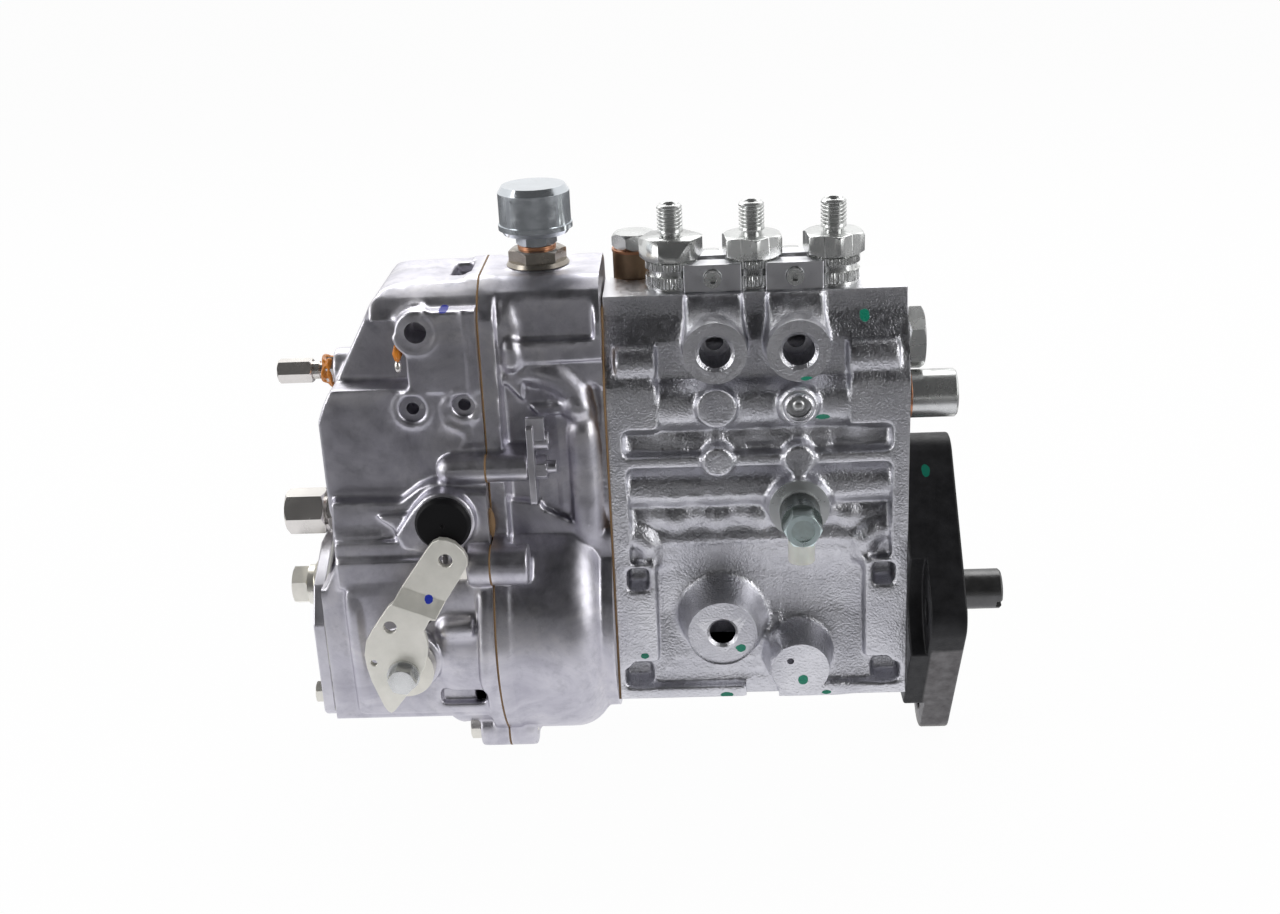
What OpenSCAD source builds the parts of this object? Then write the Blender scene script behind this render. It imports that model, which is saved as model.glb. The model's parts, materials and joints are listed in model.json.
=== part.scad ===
// Three-cylinder in-line diesel injection pump with a centrifugal governor, in millimetres.
// Origin: camshaft axis at the drive flange's mounting face. +X leaves the drive end, +Z is up.

/* [Pump body] */
// distance between neighbouring cylinders
pitch = 32; // [31.5:0.25:32.5]
// length of the pump housing along the camshaft
body_len = 118.6; // [118:0.1:119.5]
// height of the machined deck above the camshaft axis
deck_z = 138; // [137:0.25:139]
// height of the housing's underside
base_z = -32; // [-34:0.25:-31]
// how far the two fuel port bosses stand out in front
port_y = 34; // [32.5:0.25:36]
// how far the two low bosses stand out in front
low_boss_y = 41; // [38:0.5:43]

/* [Drive flange] */
// thickness of the drive flange
flange_t = 21; // [20:0.25:22]
// radius of a flange bolt hole
flange_hole_r = 5.25; // [4.5:0.25:6]
// radius of the camshaft's drive end
stub_r = 8.5; // [8:0.1:9]
// how far the drive end stands out of the flange
stub_len = 22.5; // [20:0.5:26]

/* [Cam drive] */
// radius of a cam's base circle
cam_base_r = 11; // [10.5:0.1:11]
// lift of a cam
cam_lift = 7; // [6:0.25:7]
// radius of a tappet roller
roller_r = 7; // [6.5:0.1:7.2]
// radius of a tappet body
tappet_r = 12.5; // [12.3:0.05:12.6]
// radius of a plunger
plunger_r = 4.5; // [3.5:0.25:5]

/* [Control rack] */
// module of the rack teeth and the sleeve teeth
tooth_module = 1; // [1:1:1]
// teeth that a full sleeve gear would have
sleeve_teeth = 22; // [22:1:22]
// play between a rack tooth and a sleeve tooth
backlash = 0.16; // [0.1:0.02:0.24]
// radius of the control rack
rack_r = 6.2; // [6:0.05:6.4]

/* [Outlets] */
// radius of an outlet stub's thread
outlet_r = 5; // [4.5:0.1:5.5]
// width across flats of a valve holder's hexagon
holder_flats = 22; // [20:0.5:23]
// radius of a knurled band on a valve holder
band_r = 10.4; // [10:0.1:10.6]

/* [Governor] */
// length of the governor housing along the camshaft
gov_len = 46.9; // [46:0.1:48]
// radius of the round flyweight chamber, outside
bulge_r = 53.5; // [52:0.25:55]
// height of the governor's top above the camshaft axis
gov_top = 149; // [147.5:0.25:150.5]
// wall thickness of the governor castings
wall = 5; // [4:0.25:5.5]
// thickness of a gasket
gasket_t = 0.8; // [0.5:0.1:1.2]

/* [Control lever] */
// thickness of the stamped control lever
lever_t = 3; // [2.5:0.25:3.5]
// radius of the lever shaft
lever_shaft_r = 6; // [5:0.25:6.5]

/* [Breather] */
// radius of the breather cap
cap_r = 14.6; // [13:0.2:15.5]
// height of the breather cap
cap_h = 19; // [16:0.5:21]

/* [Hidden] */
$fn = 72;
eps = 0.01;
gap = 0.05;
body_x1 = -flange_t;
body_x0 = body_x1 - body_len;
mid_x = (body_x0 + body_x1) / 2 - 0.2;
cyl_x = [mid_x - pitch, mid_x, mid_x + pitch];
port_x = [mid_x - pitch / 2, mid_x + pitch / 2];
cam_angle = [-60, 60, 180];
cam_w = 12;
cam_nose_r = 3.5;
tdc_z = cam_base_r + cam_lift + roller_r + 0.2;
tappet_z0 = tdc_z - 3.7;
tappet_z1 = tdc_z + 24.8;
bore_r = tappet_r + 0.08;
spring_top = 86;
rack_y = -16;
rack_z = 95;
pitch_r = tooth_module * sleeve_teeth / 2;
rack_pitch = PI * tooth_module;
port_z = 119.9;
gallery_y = -12;
gallery_z = 117;
seal_r = stub_r + 0.8;
joint_x = body_x0 - gasket_t;
gov_x1 = joint_x;
gov_x0 = gov_x1 - gov_len + gasket_t;
cover_x1 = gov_x0 - gasket_t;
gov_front = -33;
lever_x = -35.9;
lever_z = 0;
lever_y = -62;
guide_x = -8.7;
guide_z = 22;
weight_x = joint_x - 19.6;
weight_z = 26;
breather_x = joint_x - 24.8;
cast = [0.72, 0.73, 0.75];
diecast = [0.6, 0.6, 0.64];
steel = [0.75, 0.76, 0.78];
dark = [0.16, 0.16, 0.17];
zinc = [0.83, 0.84, 0.8];
copper = [0.72, 0.42, 0.26];

// Extrudes a shape drawn in Y and Z along X.
module along_x(x0, x1) {
    translate([x0, 0, 0])
        rotate([90, 0, 90])
            linear_extrude(x1 - x0)
                children();
}

// Extrudes a shape drawn in X and Z along Y.
module along_y(y0, y1) {
    translate([0, y1, 0])
        rotate([90, 0, 0])
            linear_extrude(y1 - y0)
                children();
}

module rod_x(x0, x1, r, y = 0, z = 0) {
    translate([x0, y, z])
        rotate([0, 90, 0])
            cylinder(h = x1 - x0, r = r);
}

module rod_y(y0, y1, r, x = 0, z = 0) {
    translate([x, y0, z])
        rotate([-90, 0, 0])
            cylinder(h = y1 - y0, r = r);
}

module rod_z(z0, z1, r, x = 0, y = 0) {
    translate([x, y, z0])
        cylinder(h = z1 - z0, r = r);
}

module cone_x(x0, x1, ra, rb, y = 0, z = 0) {
    translate([x0, y, z])
        rotate([0, 90, 0])
            cylinder(h = x1 - x0, r1 = ra, r2 = rb);
}

module cone_y(y0, y1, ra, rb, x = 0, z = 0) {
    translate([x, y0, z])
        rotate([-90, 0, 0])
            cylinder(h = y1 - y0, r1 = ra, r2 = rb);
}

module cone_z(z0, z1, ra, rb, x = 0, y = 0) {
    translate([x, y, z0])
        cylinder(h = z1 - z0, r1 = ra, r2 = rb);
}

// A hexagonal prism, flats is its width across flats.
module hex_x(x0, x1, flats, y = 0, z = 0, turn = 0) {
    translate([x0, y, z])
        rotate([0, 90, 0])
            rotate([0, 0, turn])
                cylinder(h = x1 - x0, r = flats / sqrt(3), $fn = 6);
}

module hex_y(y0, y1, flats, x = 0, z = 0, turn = 0) {
    translate([x, y0, z])
        rotate([-90, 0, 0])
            rotate([0, 0, turn])
                cylinder(h = y1 - y0, r = flats / sqrt(3), $fn = 6);
}

module hex_z(z0, z1, flats, x = 0, y = 0, turn = 0) {
    translate([x, y, z0])
        rotate([0, 0, turn])
            cylinder(h = z1 - z0, r = flats / sqrt(3), $fn = 6);
}

// A hexagon whose corners are turned down by a cone at both ends.
module hex_head_z(z0, z1, flats, x = 0, y = 0, turn = 0, cut = 1) {
    intersection() {
        hex_z(z0, z1, flats, x, y, turn);
        union() {
            cone_z(z0, z0 + cut, flats / 2, flats / sqrt(3) + 0.1, x, y);
            rod_z(z0 + cut, z1 - cut, flats / sqrt(3) + 0.1, x, y);
            cone_z(z1 - cut, z1, flats / sqrt(3) + 0.1, flats / 2, x, y);
        }
    }
}

module hex_head_x(x0, x1, flats, y = 0, z = 0, turn = 0, cut = 0.8) {
    translate([x0, y, z])
        rotate([0, 90, 0])
            hex_head_z(0, x1 - x0, flats, 0, 0, turn, cut);
}

module hex_head_y(y0, y1, flats, x = 0, z = 0, turn = 0, cut = 0.8) {
    translate([x, y0, z])
        rotate([-90, 0, 0])
            hex_head_z(0, y1 - y0, flats, 0, 0, turn, cut);
}

module rect(x0, x1, y0, y1) {
    translate([x0, y0])
        square([x1 - x0, y1 - y0]);
}

// A rectangle with round corners.
module round_rect(x0, x1, y0, y1, r) {
    rect(x0 + r, x1 - r, y0, y1);
    rect(x0, x1, y0 + r, y1 - r);
    for (x = [x0 + r, x1 - r])
        for (y = [y0 + r, y1 - r])
            translate([x, y])
                circle(r = r);
}

// The outline around equal circles at the corners of a convex polygon, listed anticlockwise.
function edge_normal(a, b) = [b[1] - a[1], a[0] - b[0]] / norm(b - a);

module rounded_outline(pts, r) {
    n = len(pts);
    polygon([for (i = [0:n - 1])
        for (e = [0, 1])
            pts[(i + e) % n] + (r - 0.03) * edge_normal(pts[i], pts[(i + 1) % n])]);
    for (p = pts)
        translate(p)
            circle(r = r);
}

// One coil spring along Z as a swept wire.
function coil_point(k, j, steps, sides, r, w, z0, z1, turns) =
    let (a = 360 * turns * k / steps)
    let (b = 360 * j / sides)
    let (rr = r + w * cos(b))
    [rr * cos(a), rr * sin(a), z0 + (z1 - z0) * k / steps + w * sin(b)];

module coil(r, w, z0, z1, turns, per_turn = 16, sides = 6) {
    steps = ceil(turns * per_turn);
    pts = [for (k = [0:steps])
        for (j = [0:sides - 1])
            coil_point(k, j, steps, sides, r, w, z0 + w, z1 - w, turns)];
    side_faces = [for (k = [0:steps - 1])
        for (j = [0:sides - 1])
            [k * sides + j, (k + 1) * sides + j, (k + 1) * sides + (j + 1) % sides,
                k * sides + (j + 1) % sides]];
    first_face = [[for (j = [0:sides - 1]) j]];
    last_face = [[for (j = [0:sides - 1]) steps * sides + sides - 1 - j]];
    polyhedron(points = pts, faces = concat(side_faces, first_face, last_face));
}

// Housing outline in Y and Z: the frame's level in front, a plain back.
module housing_profile() {
    polygon([[-13, deck_z], [-14.5, 129.5], [-28, 104], [-28.5, 30], [-30, base_z],
        [30, base_z], [28.5, 40], [27, 100], [20, 124], [17, deck_z]]);
}

// Housing outline at the floor of the front recesses.
module housing_floor_profile() {
    polygon([[-13, deck_z], [-14.5, 129.5], [-20, 121], [-20, 104], [-18, 98], [-18, 52],
        [-24, 38], [-24, 31], [-22, 24], [-22, 4], [-24.5, -12], [-26.5, -26.5],
        [-30, -27.5], [-30, base_z], [30, base_z], [28.5, 40], [21, 36],
        [19.5, 100], [18, 122], [17, deck_z]]);
}

module front_pockets() {
    rect(body_x0 + 6.6, body_x1 - 6.5, 119, 127.5);
    rect(body_x0 + 18, body_x1 - 22.5, 106, 127.5);
    rect(body_x0 + 20, body_x1 - 23.5, 84, 108);
    round_rect(body_x0 + 5.6, body_x1 - 6.5, 75.5, 87, 3);
    round_rect(body_x0 + 6.6, body_x1 - 6.5, 50, 71, 3);
    rect(body_x0 + 6.6, body_x1 - 6.5, 29, 56);
    rect(body_x0 + 16.6, body_x1 - 17, -27, 52);
    rect(body_x0 + 5.6, body_x1 - 6.5, -27, -15.5);
}

module back_pockets() {
    round_rect(body_x0 + 8, mid_x - 6, 46, 98, 4);
    round_rect(mid_x + 6, body_x1 - 8, 46, 98, 4);
}

module port_boss(x) {
    rod_y(-port_y, -10, 11.4, x, port_z);
    along_x(x - 11, x + 11)
        polygon([[-port_y + 1.5, port_z], [-port_y + 3.5, port_z + 6], [-24, port_z + 11],
            [-13.2, deck_z - 0.5], [-10, port_z]]);
}

module housing_solid() {
    along_x(body_x0, body_x1)
        housing_floor_profile();
    difference() {
        along_x(body_x0, body_x1)
            housing_profile();
        along_y(-60, -8)
            front_pockets();
        along_y(19.5, 60)
            back_pockets();
    }
}

module housing_rails() {
    rod_x(body_x0, body_x1, 11, rack_y - 0.3, rack_z);
    rod_x(body_x0, body_x0 + 20, 12, rack_y - 0.3, rack_z);
    rod_x(body_x1 - 23.5, body_x1, 12, rack_y - 0.3, rack_z);
    rod_x(body_x0 + 4, body_x1 - 4, 7.5, -18.5, 60);
    rod_x(body_x0 + 4, body_x0 + 20, 7, -20, 113);
    rod_x(body_x1 - 24, body_x1 - 4, 7, -20, 113);
}

module housing_bosses() {
    for (x = port_x) {
        port_boss(x);
        rod_y(-29.5, -12, 7.6, x, 96);
        rod_y(-29.8, -12, 5.7, x, 73.5);
    }
    rod_y(-33, -12, 10, port_x[1] - 0.3, 54.5);
    rod_y(-low_boss_y, -18.8, 11.8, port_x[0], 3.7);
    cone_y(-30, -20.5, 12.5, 17, port_x[0], 3.7);
    rod_y(-low_boss_y, -18.8, 9.7, port_x[1] - 0.5, -14);
    cone_y(-31, -20.5, 10, 14.5, port_x[1] - 0.5, -14);
    rod_z(100, 134, 10.5, body_x0 + 12, 21);
}

// The bored insides of the pump housing.
module housing_bores() {
    rod_x(body_x0 - 1, body_x0 + 15, 20.02);
    rod_x(body_x1 - 15, body_x1 + 1, 20.02);
    translate([body_x0 + 15 - eps, -18.8, -21])
        cube([body_len - 30 + 2 * eps, 37.6, 42.5]);
    for (x = cyl_x) {
        rod_z(18, 88, bore_r, x);
        rod_z(87, 104, 12.3, x);
        rod_z(103, 131, 10.02, x);
        rod_z(130, deck_z + 1, 9.85, x);
    }
    rod_x(body_x0 + 14, body_x1 + 1, 5, gallery_y, gallery_z);
    rod_x(body_x0 - 1, body_x1 + 1, rack_r + 0.05, rack_y, rack_z);
    for (x = port_x) {
        rod_y(-port_y - 1, -18, 6.19, x, port_z);
        rod_y(-19, gallery_y, 3.5, x, port_z);
    }
    rod_y(-30, gallery_y - 8, 5.05, port_x[1], 96);
    rod_y(-34, -18, 4.05, port_x[1] - 0.3, 54.5);
    rod_y(-low_boss_y - 1, -21, 5.25, port_x[0], 3.7);
    rod_y(-22, -18, 2, port_x[0], 3.7);
    rod_y(-low_boss_y - 1, -low_boss_y + 4, 1.4, port_x[1] - 4.7, -10);
    rod_z(base_z - 1, -20, 12.02, mid_x);
    rod_z(134, deck_z + 1, 10.6, body_x0 + 12, 21);
    rod_z(114, 135, 5.05, body_x0 + 12, 21);
    rod_z(104, 116, 2, body_x0 + 12, 21);
}

module bottom_gap() {
    translate([mid_x - 6.5, -31, base_z - 1])
        cube([13.5, 4.2, 8]);
}

module pump_housing() {
    color(cast)
        difference() {
            union() {
                housing_solid();
                housing_rails();
                housing_bosses();
            }
            housing_bores();
            bottom_gap();
        }
}

// Flange lug centres in Y and Z, anticlockwise.
flange_lugs = [[38, 2], [6, 56], [-39, 10], [-5, -49]];

module drive_flange() {
    color(dark)
        difference() {
            union() {
                along_x(-flange_t + gap, 0)
                    rounded_outline(flange_lugs, 13);
                rod_x(-2, 3.5, 24);
            }
            rod_x(-flange_t - 1, -13, 20.02);
            rod_x(-14, 6, 15);
            for (k = [0, 2, 3])
                rod_x(-flange_t - 1, 1, flange_hole_r, flange_lugs[k][0], flange_lugs[k][1]);
            rod_x(-18, 1, 4.25, flange_lugs[1][0], flange_lugs[1][1]);
            // Crescent cuts that clear the nuts behind the side lugs.
            rod_x(-flange_t - 1, -14.5, 26, -56, 16);
            rod_x(-flange_t - 1, -14.5, 25, 56, -3);
            along_x(-flange_t - 1, -12)
                rect(-30, 30, -64, -41);
        }
}

module shaft_seal() {
    color([0.1, 0.1, 0.1])
        difference() {
            rod_x(-8, 1.5, 14.97);
            rod_x(-9, 3, seal_r + gap);
            difference() {
                rod_x(-0.8, 3, 12.6);
                rod_x(-1, 3, 10.4);
            }
        }
}

module shaft_bearings() {
    color(steel)
        for (x = [body_x0 + 1.2, body_x1 - 13.5])
            difference() {
                rod_x(x, x + 13, 20);
                rod_x(x - 1, x + 14, 10.03);
                difference() {
                    rod_x(x - 1, x + 2.5, 16.5);
                    rod_x(x - 2, x + 3, 13.5);
                }
                difference() {
                    rod_x(x + 10.5, x + 14, 16.5);
                    rod_x(x + 10, x + 15, 13.5);
                }
            }
}

// One cam with its lobe up: base circle, nose circle and the flanks tangent to both.
module cam_outline() {
    d = cam_base_r + cam_lift - cam_nose_r;
    a = acos((cam_base_r - cam_nose_r) / d);
    circle(r = cam_base_r);
    translate([0, d])
        circle(r = cam_nose_r);
    polygon([[cam_base_r * sin(a), cam_base_r * cos(a)],
        [cam_nose_r * sin(a), d + cam_nose_r * cos(a)],
        [-cam_nose_r * sin(a), d + cam_nose_r * cos(a)],
        [-cam_base_r * sin(a), cam_base_r * cos(a)], [0, 0]]);
}

module camshaft() {
    color([0.3, 0.3, 0.32])
        difference() {
            union() {
                rod_x(body_x0 + 0.5, body_x1 - 0.2, 10);
                rod_x(body_x1 - 0.5, 2, seal_r);
                rod_x(1.9, stub_len - 0.8, stub_r);
                cone_x(stub_len - 0.8, stub_len, stub_r, stub_r - 0.8);
                rod_x(joint_x - 17.6, body_x0 + 1, 8);
                rod_x(gov_x0 + 0.5, joint_x - 16.6, 5);
                for (i = [0:2])
                    rotate([cam_angle[i], 0, 0])
                        along_x(cyl_x[i] - cam_w / 2, cyl_x[i] + cam_w / 2)
                            cam_outline();
            }
            rotate([30, 0, 0])
                translate([stub_len - 2.5, -12, -1.9])
                    cube([4, 24, 3.8]);
        }
}

module tappet(i) {
    x = cyl_x[i];
    color(steel)
        difference() {
            rod_z(tappet_z0, tappet_z1, tappet_r, x);
            translate([x - 6.3, -13, tappet_z0 - 1])
                cube([12.6, 26, 14]);
            rod_x(x - 10.5, x + 10.5, 3.02, 0, tdc_z);
            rod_z(tappet_z1 - 3, tappet_z1 + 1, 7.2, x);
        }
}

module tappet_fittings(i) {
    x = cyl_x[i];
    color(steel) {
        difference() {
            rod_x(x - 6, x + 6, roller_r, 0, tdc_z);
            rod_x(x - 7, x + 7, 3.05, 0, tdc_z);
        }
        rod_x(x - 10.2, x + 10.2, 3, 0, tdc_z);
        difference() {
            rod_z(tappet_z1, tappet_z1 + 2, 12.2, x);
            rod_z(tappet_z1 - 1, tappet_z1 + 3, 5.2, x);
        }
    }
}

module plunger(i) {
    x = cyl_x[i];
    color([0.82, 0.83, 0.85])
        difference() {
            union() {
                rod_z(tappet_z1 - 2.8, tappet_z1 - 0.3, 6.9, x);
                rod_z(tappet_z1 - 1, 122, plunger_r, x);
                translate([x - 8.8, -1.5, 77])
                    cube([17.6, 3, 5]);
            }
            translate([x + plunger_r - 1, -1, 108])
                cube([3, 2, 15]);
            difference() {
                rod_z(106, 109, plunger_r + 1, x);
                rod_z(105, 110, plunger_r - 0.8, x);
            }
        }
}

// Points of one involute tooth flank pair on the sleeve gear, tooth centred on the angle c.
function involute_angle(r, rb) = let (p = acos(min(1, rb / r))) tan(p) * 180 / PI - p;
function tooth_half(r, rb, rp) =
    (90 / sleeve_teeth) - backlash / 2 / rp * 180 / PI + involute_angle(rp, rb) - involute_angle(r, rb);
function gear_tooth(c, radii, rb, rp, root) = concat(
    [[root * cos(c - tooth_half(radii[0], rb, rp)), root * sin(c - tooth_half(radii[0], rb, rp))]],
    [for (r = radii) [r * cos(c - tooth_half(r, rb, rp)), r * sin(c - tooth_half(r, rb, rp))]],
    [for (k = [len(radii) - 1:-1:0])
        [radii[k] * cos(c + tooth_half(radii[k], rb, rp)),
            radii[k] * sin(c + tooth_half(radii[k], rb, rp))]],
    [[root * cos(c + tooth_half(radii[0], rb, rp)), root * sin(c + tooth_half(radii[0], rb, rp))]]);

// Toothed sector that faces the rack: teeth -4 to 4 around the phase angle.
module sector_outline(phase) {
    rb = pitch_r * cos(20);
    root = pitch_r - 1.25 * tooth_module;
    tip = pitch_r + tooth_module;
    radii = [rb + 0.02, rb + 0.3, pitch_r, pitch_r + 0.5 * tooth_module, tip];
    polygon(concat([[0, 0]], [for (k = [-4:4])
        for (p = gear_tooth(-90 + phase + (k + 0.5) * 360 / sleeve_teeth, radii, rb, pitch_r, root))
            p]));
}

// The rack has a tooth centred on the middle cylinder; a sleeve needs a gap at each rack tooth.
function rack_phase(i) =
    let (d = cyl_x[i] - mid_x)
    let (off = round(d / rack_pitch) * rack_pitch - d)
    off / pitch_r * 180 / PI;

module control_sleeve(i) {
    x = cyl_x[i];
    color([0.7, 0.66, 0.5])
        difference() {
            union() {
                rod_z(68, 102.5, 9.2, x);
                translate([x, 0, 91])
                    linear_extrude(8)
                        sector_outline(rack_phase(i));
            }
            rod_z(67, 104, 7.55, x);
            translate([x - 11, -1.65, 67])
                cube([22, 3.3, 17]);
        }
}

module tooth_gap(x) {
    s = tan(20);
    h = rack_pitch / 4;
    translate([x, 0])
        polygon([[-h - 2 * s, -pitch_r + 2], [-h + 1.25 * s, -pitch_r - 1.25],
            [h - 1.25 * s, -pitch_r - 1.25], [h + 2 * s, -pitch_r + 2]]);
}

module control_rack() {
    n = 15;
    color([0.62, 0.63, 0.66])
        difference() {
            union() {
                rod_x(joint_x - 19.6, body_x1 + 6.5, rack_r, rack_y, rack_z);
                rod_x(cover_x1 - 11.7, joint_x - 18.6, 3, rack_y, rack_z);
                rod_x(cover_x1 - 13.2, cover_x1 - 4.2, 3.8, rack_y, rack_z);
                rod_y(rack_y, -8, 2, cover_x1 + guide_x, rack_z);
            }
            translate([mid_x - (n + 0.5) * rack_pitch, -pitch_r + tooth_module, rack_z - 8])
                cube([(2 * n + 1) * rack_pitch, 9, 16]);
            translate([0, 0, rack_z - 8])
                linear_extrude(16)
                    for (k = [-n:n - 1])
                        tooth_gap(mid_x + (k + 0.5) * rack_pitch);
        }
}

module plunger_spring(i) {
    color([0.5, 0.52, 0.56])
        translate([cyl_x[i], 0, 0])
            coil(10.85, 0.95, tappet_z1 + 2.1, spring_top - 0.1, 5.5);
}

module inner_seats() {
    color(steel)
        for (x = cyl_x) {
            difference() {
                rod_z(spring_top, 88, bore_r - 0.05, x);
                rod_z(spring_top - 1, 89, 9.35, x);
            }
            difference() {
                rod_z(127, 133, 8.4, x);
                rod_z(126, 134, 3.05, x);
            }
        }
}

module barrels() {
    color([0.66, 0.67, 0.7])
        for (x = cyl_x)
            difference() {
                union() {
                    rod_z(88, 105, 7.5, x);
                    rod_z(104, 127, 9.98, x);
                }
                rod_z(87, 128, plunger_r + 0.02, x);
                rod_y(-12, 12, 1.5, x, 117);
            }
}

module delivery_valve(i) {
    x = cyl_x[i];
    color([0.8, 0.8, 0.82]) {
        rod_z(128, 133.2, 3, x);
        cone_z(133.05, 134.5, 3, 4.6, x);
        rod_z(134.5, 136, 4.6, x);
        rod_z(135.9, 140, 2.4, x);
    }
}

module valve_spring(i) {
    color([0.5, 0.52, 0.56])
        translate([cyl_x[i], 0, 0])
            coil(3.5, 0.55, 136.1, 151.9, 6, 12, 5);
}

holder_turn = [-22, 6, 7];

module valve_holder(i) {
    x = cyl_x[i];
    h0 = deck_z + 12;
    difference() {
        union() {
            rod_z(133, deck_z + 1, 9.8, x);
            rod_z(deck_z + 0.5, deck_z + 9, 9.1, x);
            rod_z(deck_z + 1.3, deck_z + 5.4, band_r, x);
            rod_z(deck_z + 8.2, deck_z + 11, band_r, x);
            rod_z(deck_z + 8, h0 + 1, 9.4, x);
            hex_head_z(h0 - 0.3, h0 + 8.2, holder_flats, x, 0, 30 + holder_turn[i], 1.3);
            rod_z(h0 + 8, h0 + 10.2, outlet_r - 0.8, x);
            rod_z(h0 + 10, h0 + 20, outlet_r, x);
            cone_z(h0 + 20, h0 + 21, outlet_r, outlet_r - 1, x);
        }
        rod_z(132, h0 + 2, 6.3, x);
        rod_z(h0 + 1, h0 + 22, 1.3, x);
        cone_z(h0 + 17.5, h0 + 21.01, 1.3, 3.4, x);
    }
}

module valve_holders() {
    color(steel)
        for (i = [0:2])
            valve_holder(i);
}

module clamp_jaws() {
    color([0.74, 0.74, 0.76])
        for (x = port_x)
            for (side = [-1, 1])
                difference() {
                    translate([x - 11.3, side > 0 ? 3 : -12, deck_z])
                        cube([22.6, 9, 11]);
                    for (c = [x - pitch / 2, x + pitch / 2])
                        rod_z(deck_z - 1, deck_z + 12, band_r + 0.05, c);
                    rod_y(-13, 13, 3.35, x, deck_z + 5.7);
                }
}

module clamp_screws() {
    color(steel)
        for (x = port_x) {
            difference() {
                rod_y(-15.5, 15.5, 3.25, x, deck_z + 5.7);
                hex_y(-16, -13.5, 2.8, x, deck_z + 5.7);
            }
            difference() {
                hex_head_y(12, 16.5, 10, x, deck_z + 5.7);
                rod_y(11, 17, 3.27, x, deck_z + 5.7);
            }
        }
}

module rack_cap() {
    color(steel)
        difference() {
            union() {
                rod_x(body_x1 + 1.2, body_x1 + 18.4, 9.6, rack_y, rack_z);
                cone_x(body_x1 + 18.4, body_x1 + 19.2, 9.6, 8.8, rack_y, rack_z);
            }
            rod_x(body_x1 - 1, body_x1 + 16, rack_r + 0.4, rack_y, rack_z);
            for (s = [-1, 1])
                translate([body_x1 + 9, rack_y - 12, rack_z + s * 14.3 - 5])
                    cube([12, 24, 10]);
        }
}

module housing_plugs() {
    color(steel) {
        rod_x(body_x1 - 12, body_x1 + 0.5, 4.97, gallery_y, gallery_z);
        difference() {
            hex_head_x(body_x1, body_x1 + 6.4, holder_flats, gallery_y, gallery_z, 0, 1);
            rod_x(body_x1 + 5.4, body_x1 + 8, 4, gallery_y, gallery_z);
        }
        rod_y(-27.5, -22.5, 5, port_x[1], 96);
        translate([port_x[1], -27.2, 96])
            sphere(r = 3.2);
        rod_z(base_z, base_z + 5, 12, mid_x);
    }
}

module vent_screw() {
    x = port_x[1] - 0.3;
    color(zinc)
        difference() {
            union() {
                rod_y(-34.2, -33, 12, x, 54.5);
                rod_y(-48.5, -34, 8, x, 54.5);
                rod_y(-36, -20, 4, x, 54.5);
                hex_head_y(-56, -48, 13, x, 54.5, 0, 0.7);
            }
            rod_y(-57, -55.4, 4.6, x, 54.5);
        }
}

module vent_nipple() {
    x = port_x[1] - 0.3;
    color([0.9, 0.89, 0.84])
        difference() {
            rod_z(37.5, 46.3, 5.2, x, -45.5);
            rod_z(36.5, 44, 3.4, x, -45.5);
        }
}

module overflow_union() {
    x = body_x0 + 12;
    color([0.45, 0.3, 0.2])
        difference() {
            union() {
                rod_z(135.2, 148, 9, x, 21);
                rod_y(27, 31, 5.6, x, 141);
                rod_y(30.9, 41, 4.5, x, 141);
            }
            rod_z(134, 149, 5.05, x, 21);
            rod_y(31, 42, 2.5, x, 141);
        }
}

module overflow_bolt() {
    x = body_x0 + 12;
    color([0.55, 0.55, 0.56]) {
        rod_z(116.5, 150, 5, x, 21);
        hex_head_z(149.2, 155.5, 16, x, 21, 10, 1.6);
    }
}

module copper_washers() {
    color(copper) {
        for (z = [134, 148])
            difference() {
                rod_z(z, z + 1.2, 9.3, body_x0 + 12, 21);
                rod_z(z - 1, z + 2, 5.1, body_x0 + 12, 21);
            }
        difference() {
            rod_x(body_x1, body_x1 + 1.2, 9.8, rack_y, rack_z);
            rod_x(body_x1 - 1, body_x1 + 2, rack_r + 0.4, rack_y, rack_z);
        }
        difference() {
            rod_z(gov_top + 6.6, gov_top + 8.1, 7.6, breather_x);
            rod_z(gov_top + 6, gov_top + 9, 4.1, breather_x);
        }
    }
}

// Outline of the governor castings where they meet at the gasket, in Y and Z.
module governor_upper_outline(d = 0) {
    polygon([[-33 + d, 112], [-32 + d, 136], [-26 + d, gov_top - 5.2 - d], [-17 + d, gov_top - d],
        [17 - d, gov_top - d], [26 - d, gov_top - 5.2 - d], [32 - d, 136], [33 - d, 112],
        [37 - d, 47], [40 - d, 10], [-40 + d, 10], [-37 + d, 47]]);
}

side_lugs = [[-46, 39.5, 8.2], [46, 39.5, 8.2]];
low_lugs = [[-28, -44, 8.7], [28, -44, 8.7]];

module gasket_outline() {
    governor_upper_outline();
    circle(r = bulge_r + 1);
    for (p = concat(side_lugs, low_lugs))
        translate([p[0], p[1]])
            circle(r = p[2]);
    translate([-38.2, 77.5])
        circle(r = 5.6);
}

module gasket_hole() {
    governor_upper_outline(wall + 1);
    circle(r = bulge_r - wall);
}

// Round flyweight chamber, outside, with its rounded right-hand shoulder.
module bulge_outside(x0, x1, r, turn_r) {
    rod_x(x0, x1 - turn_r, r);
    translate([x1 - turn_r, 0, 0])
        rotate([0, 90, 0])
            rotate_extrude()
                intersection() {
                    union() {
                        translate([r - turn_r, 0])
                            circle(r = turn_r);
                        rect(0, r - turn_r, 0, turn_r);
                    }
                    rect(0, r + 1, -0.5, turn_r + 1);
                }
}

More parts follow.
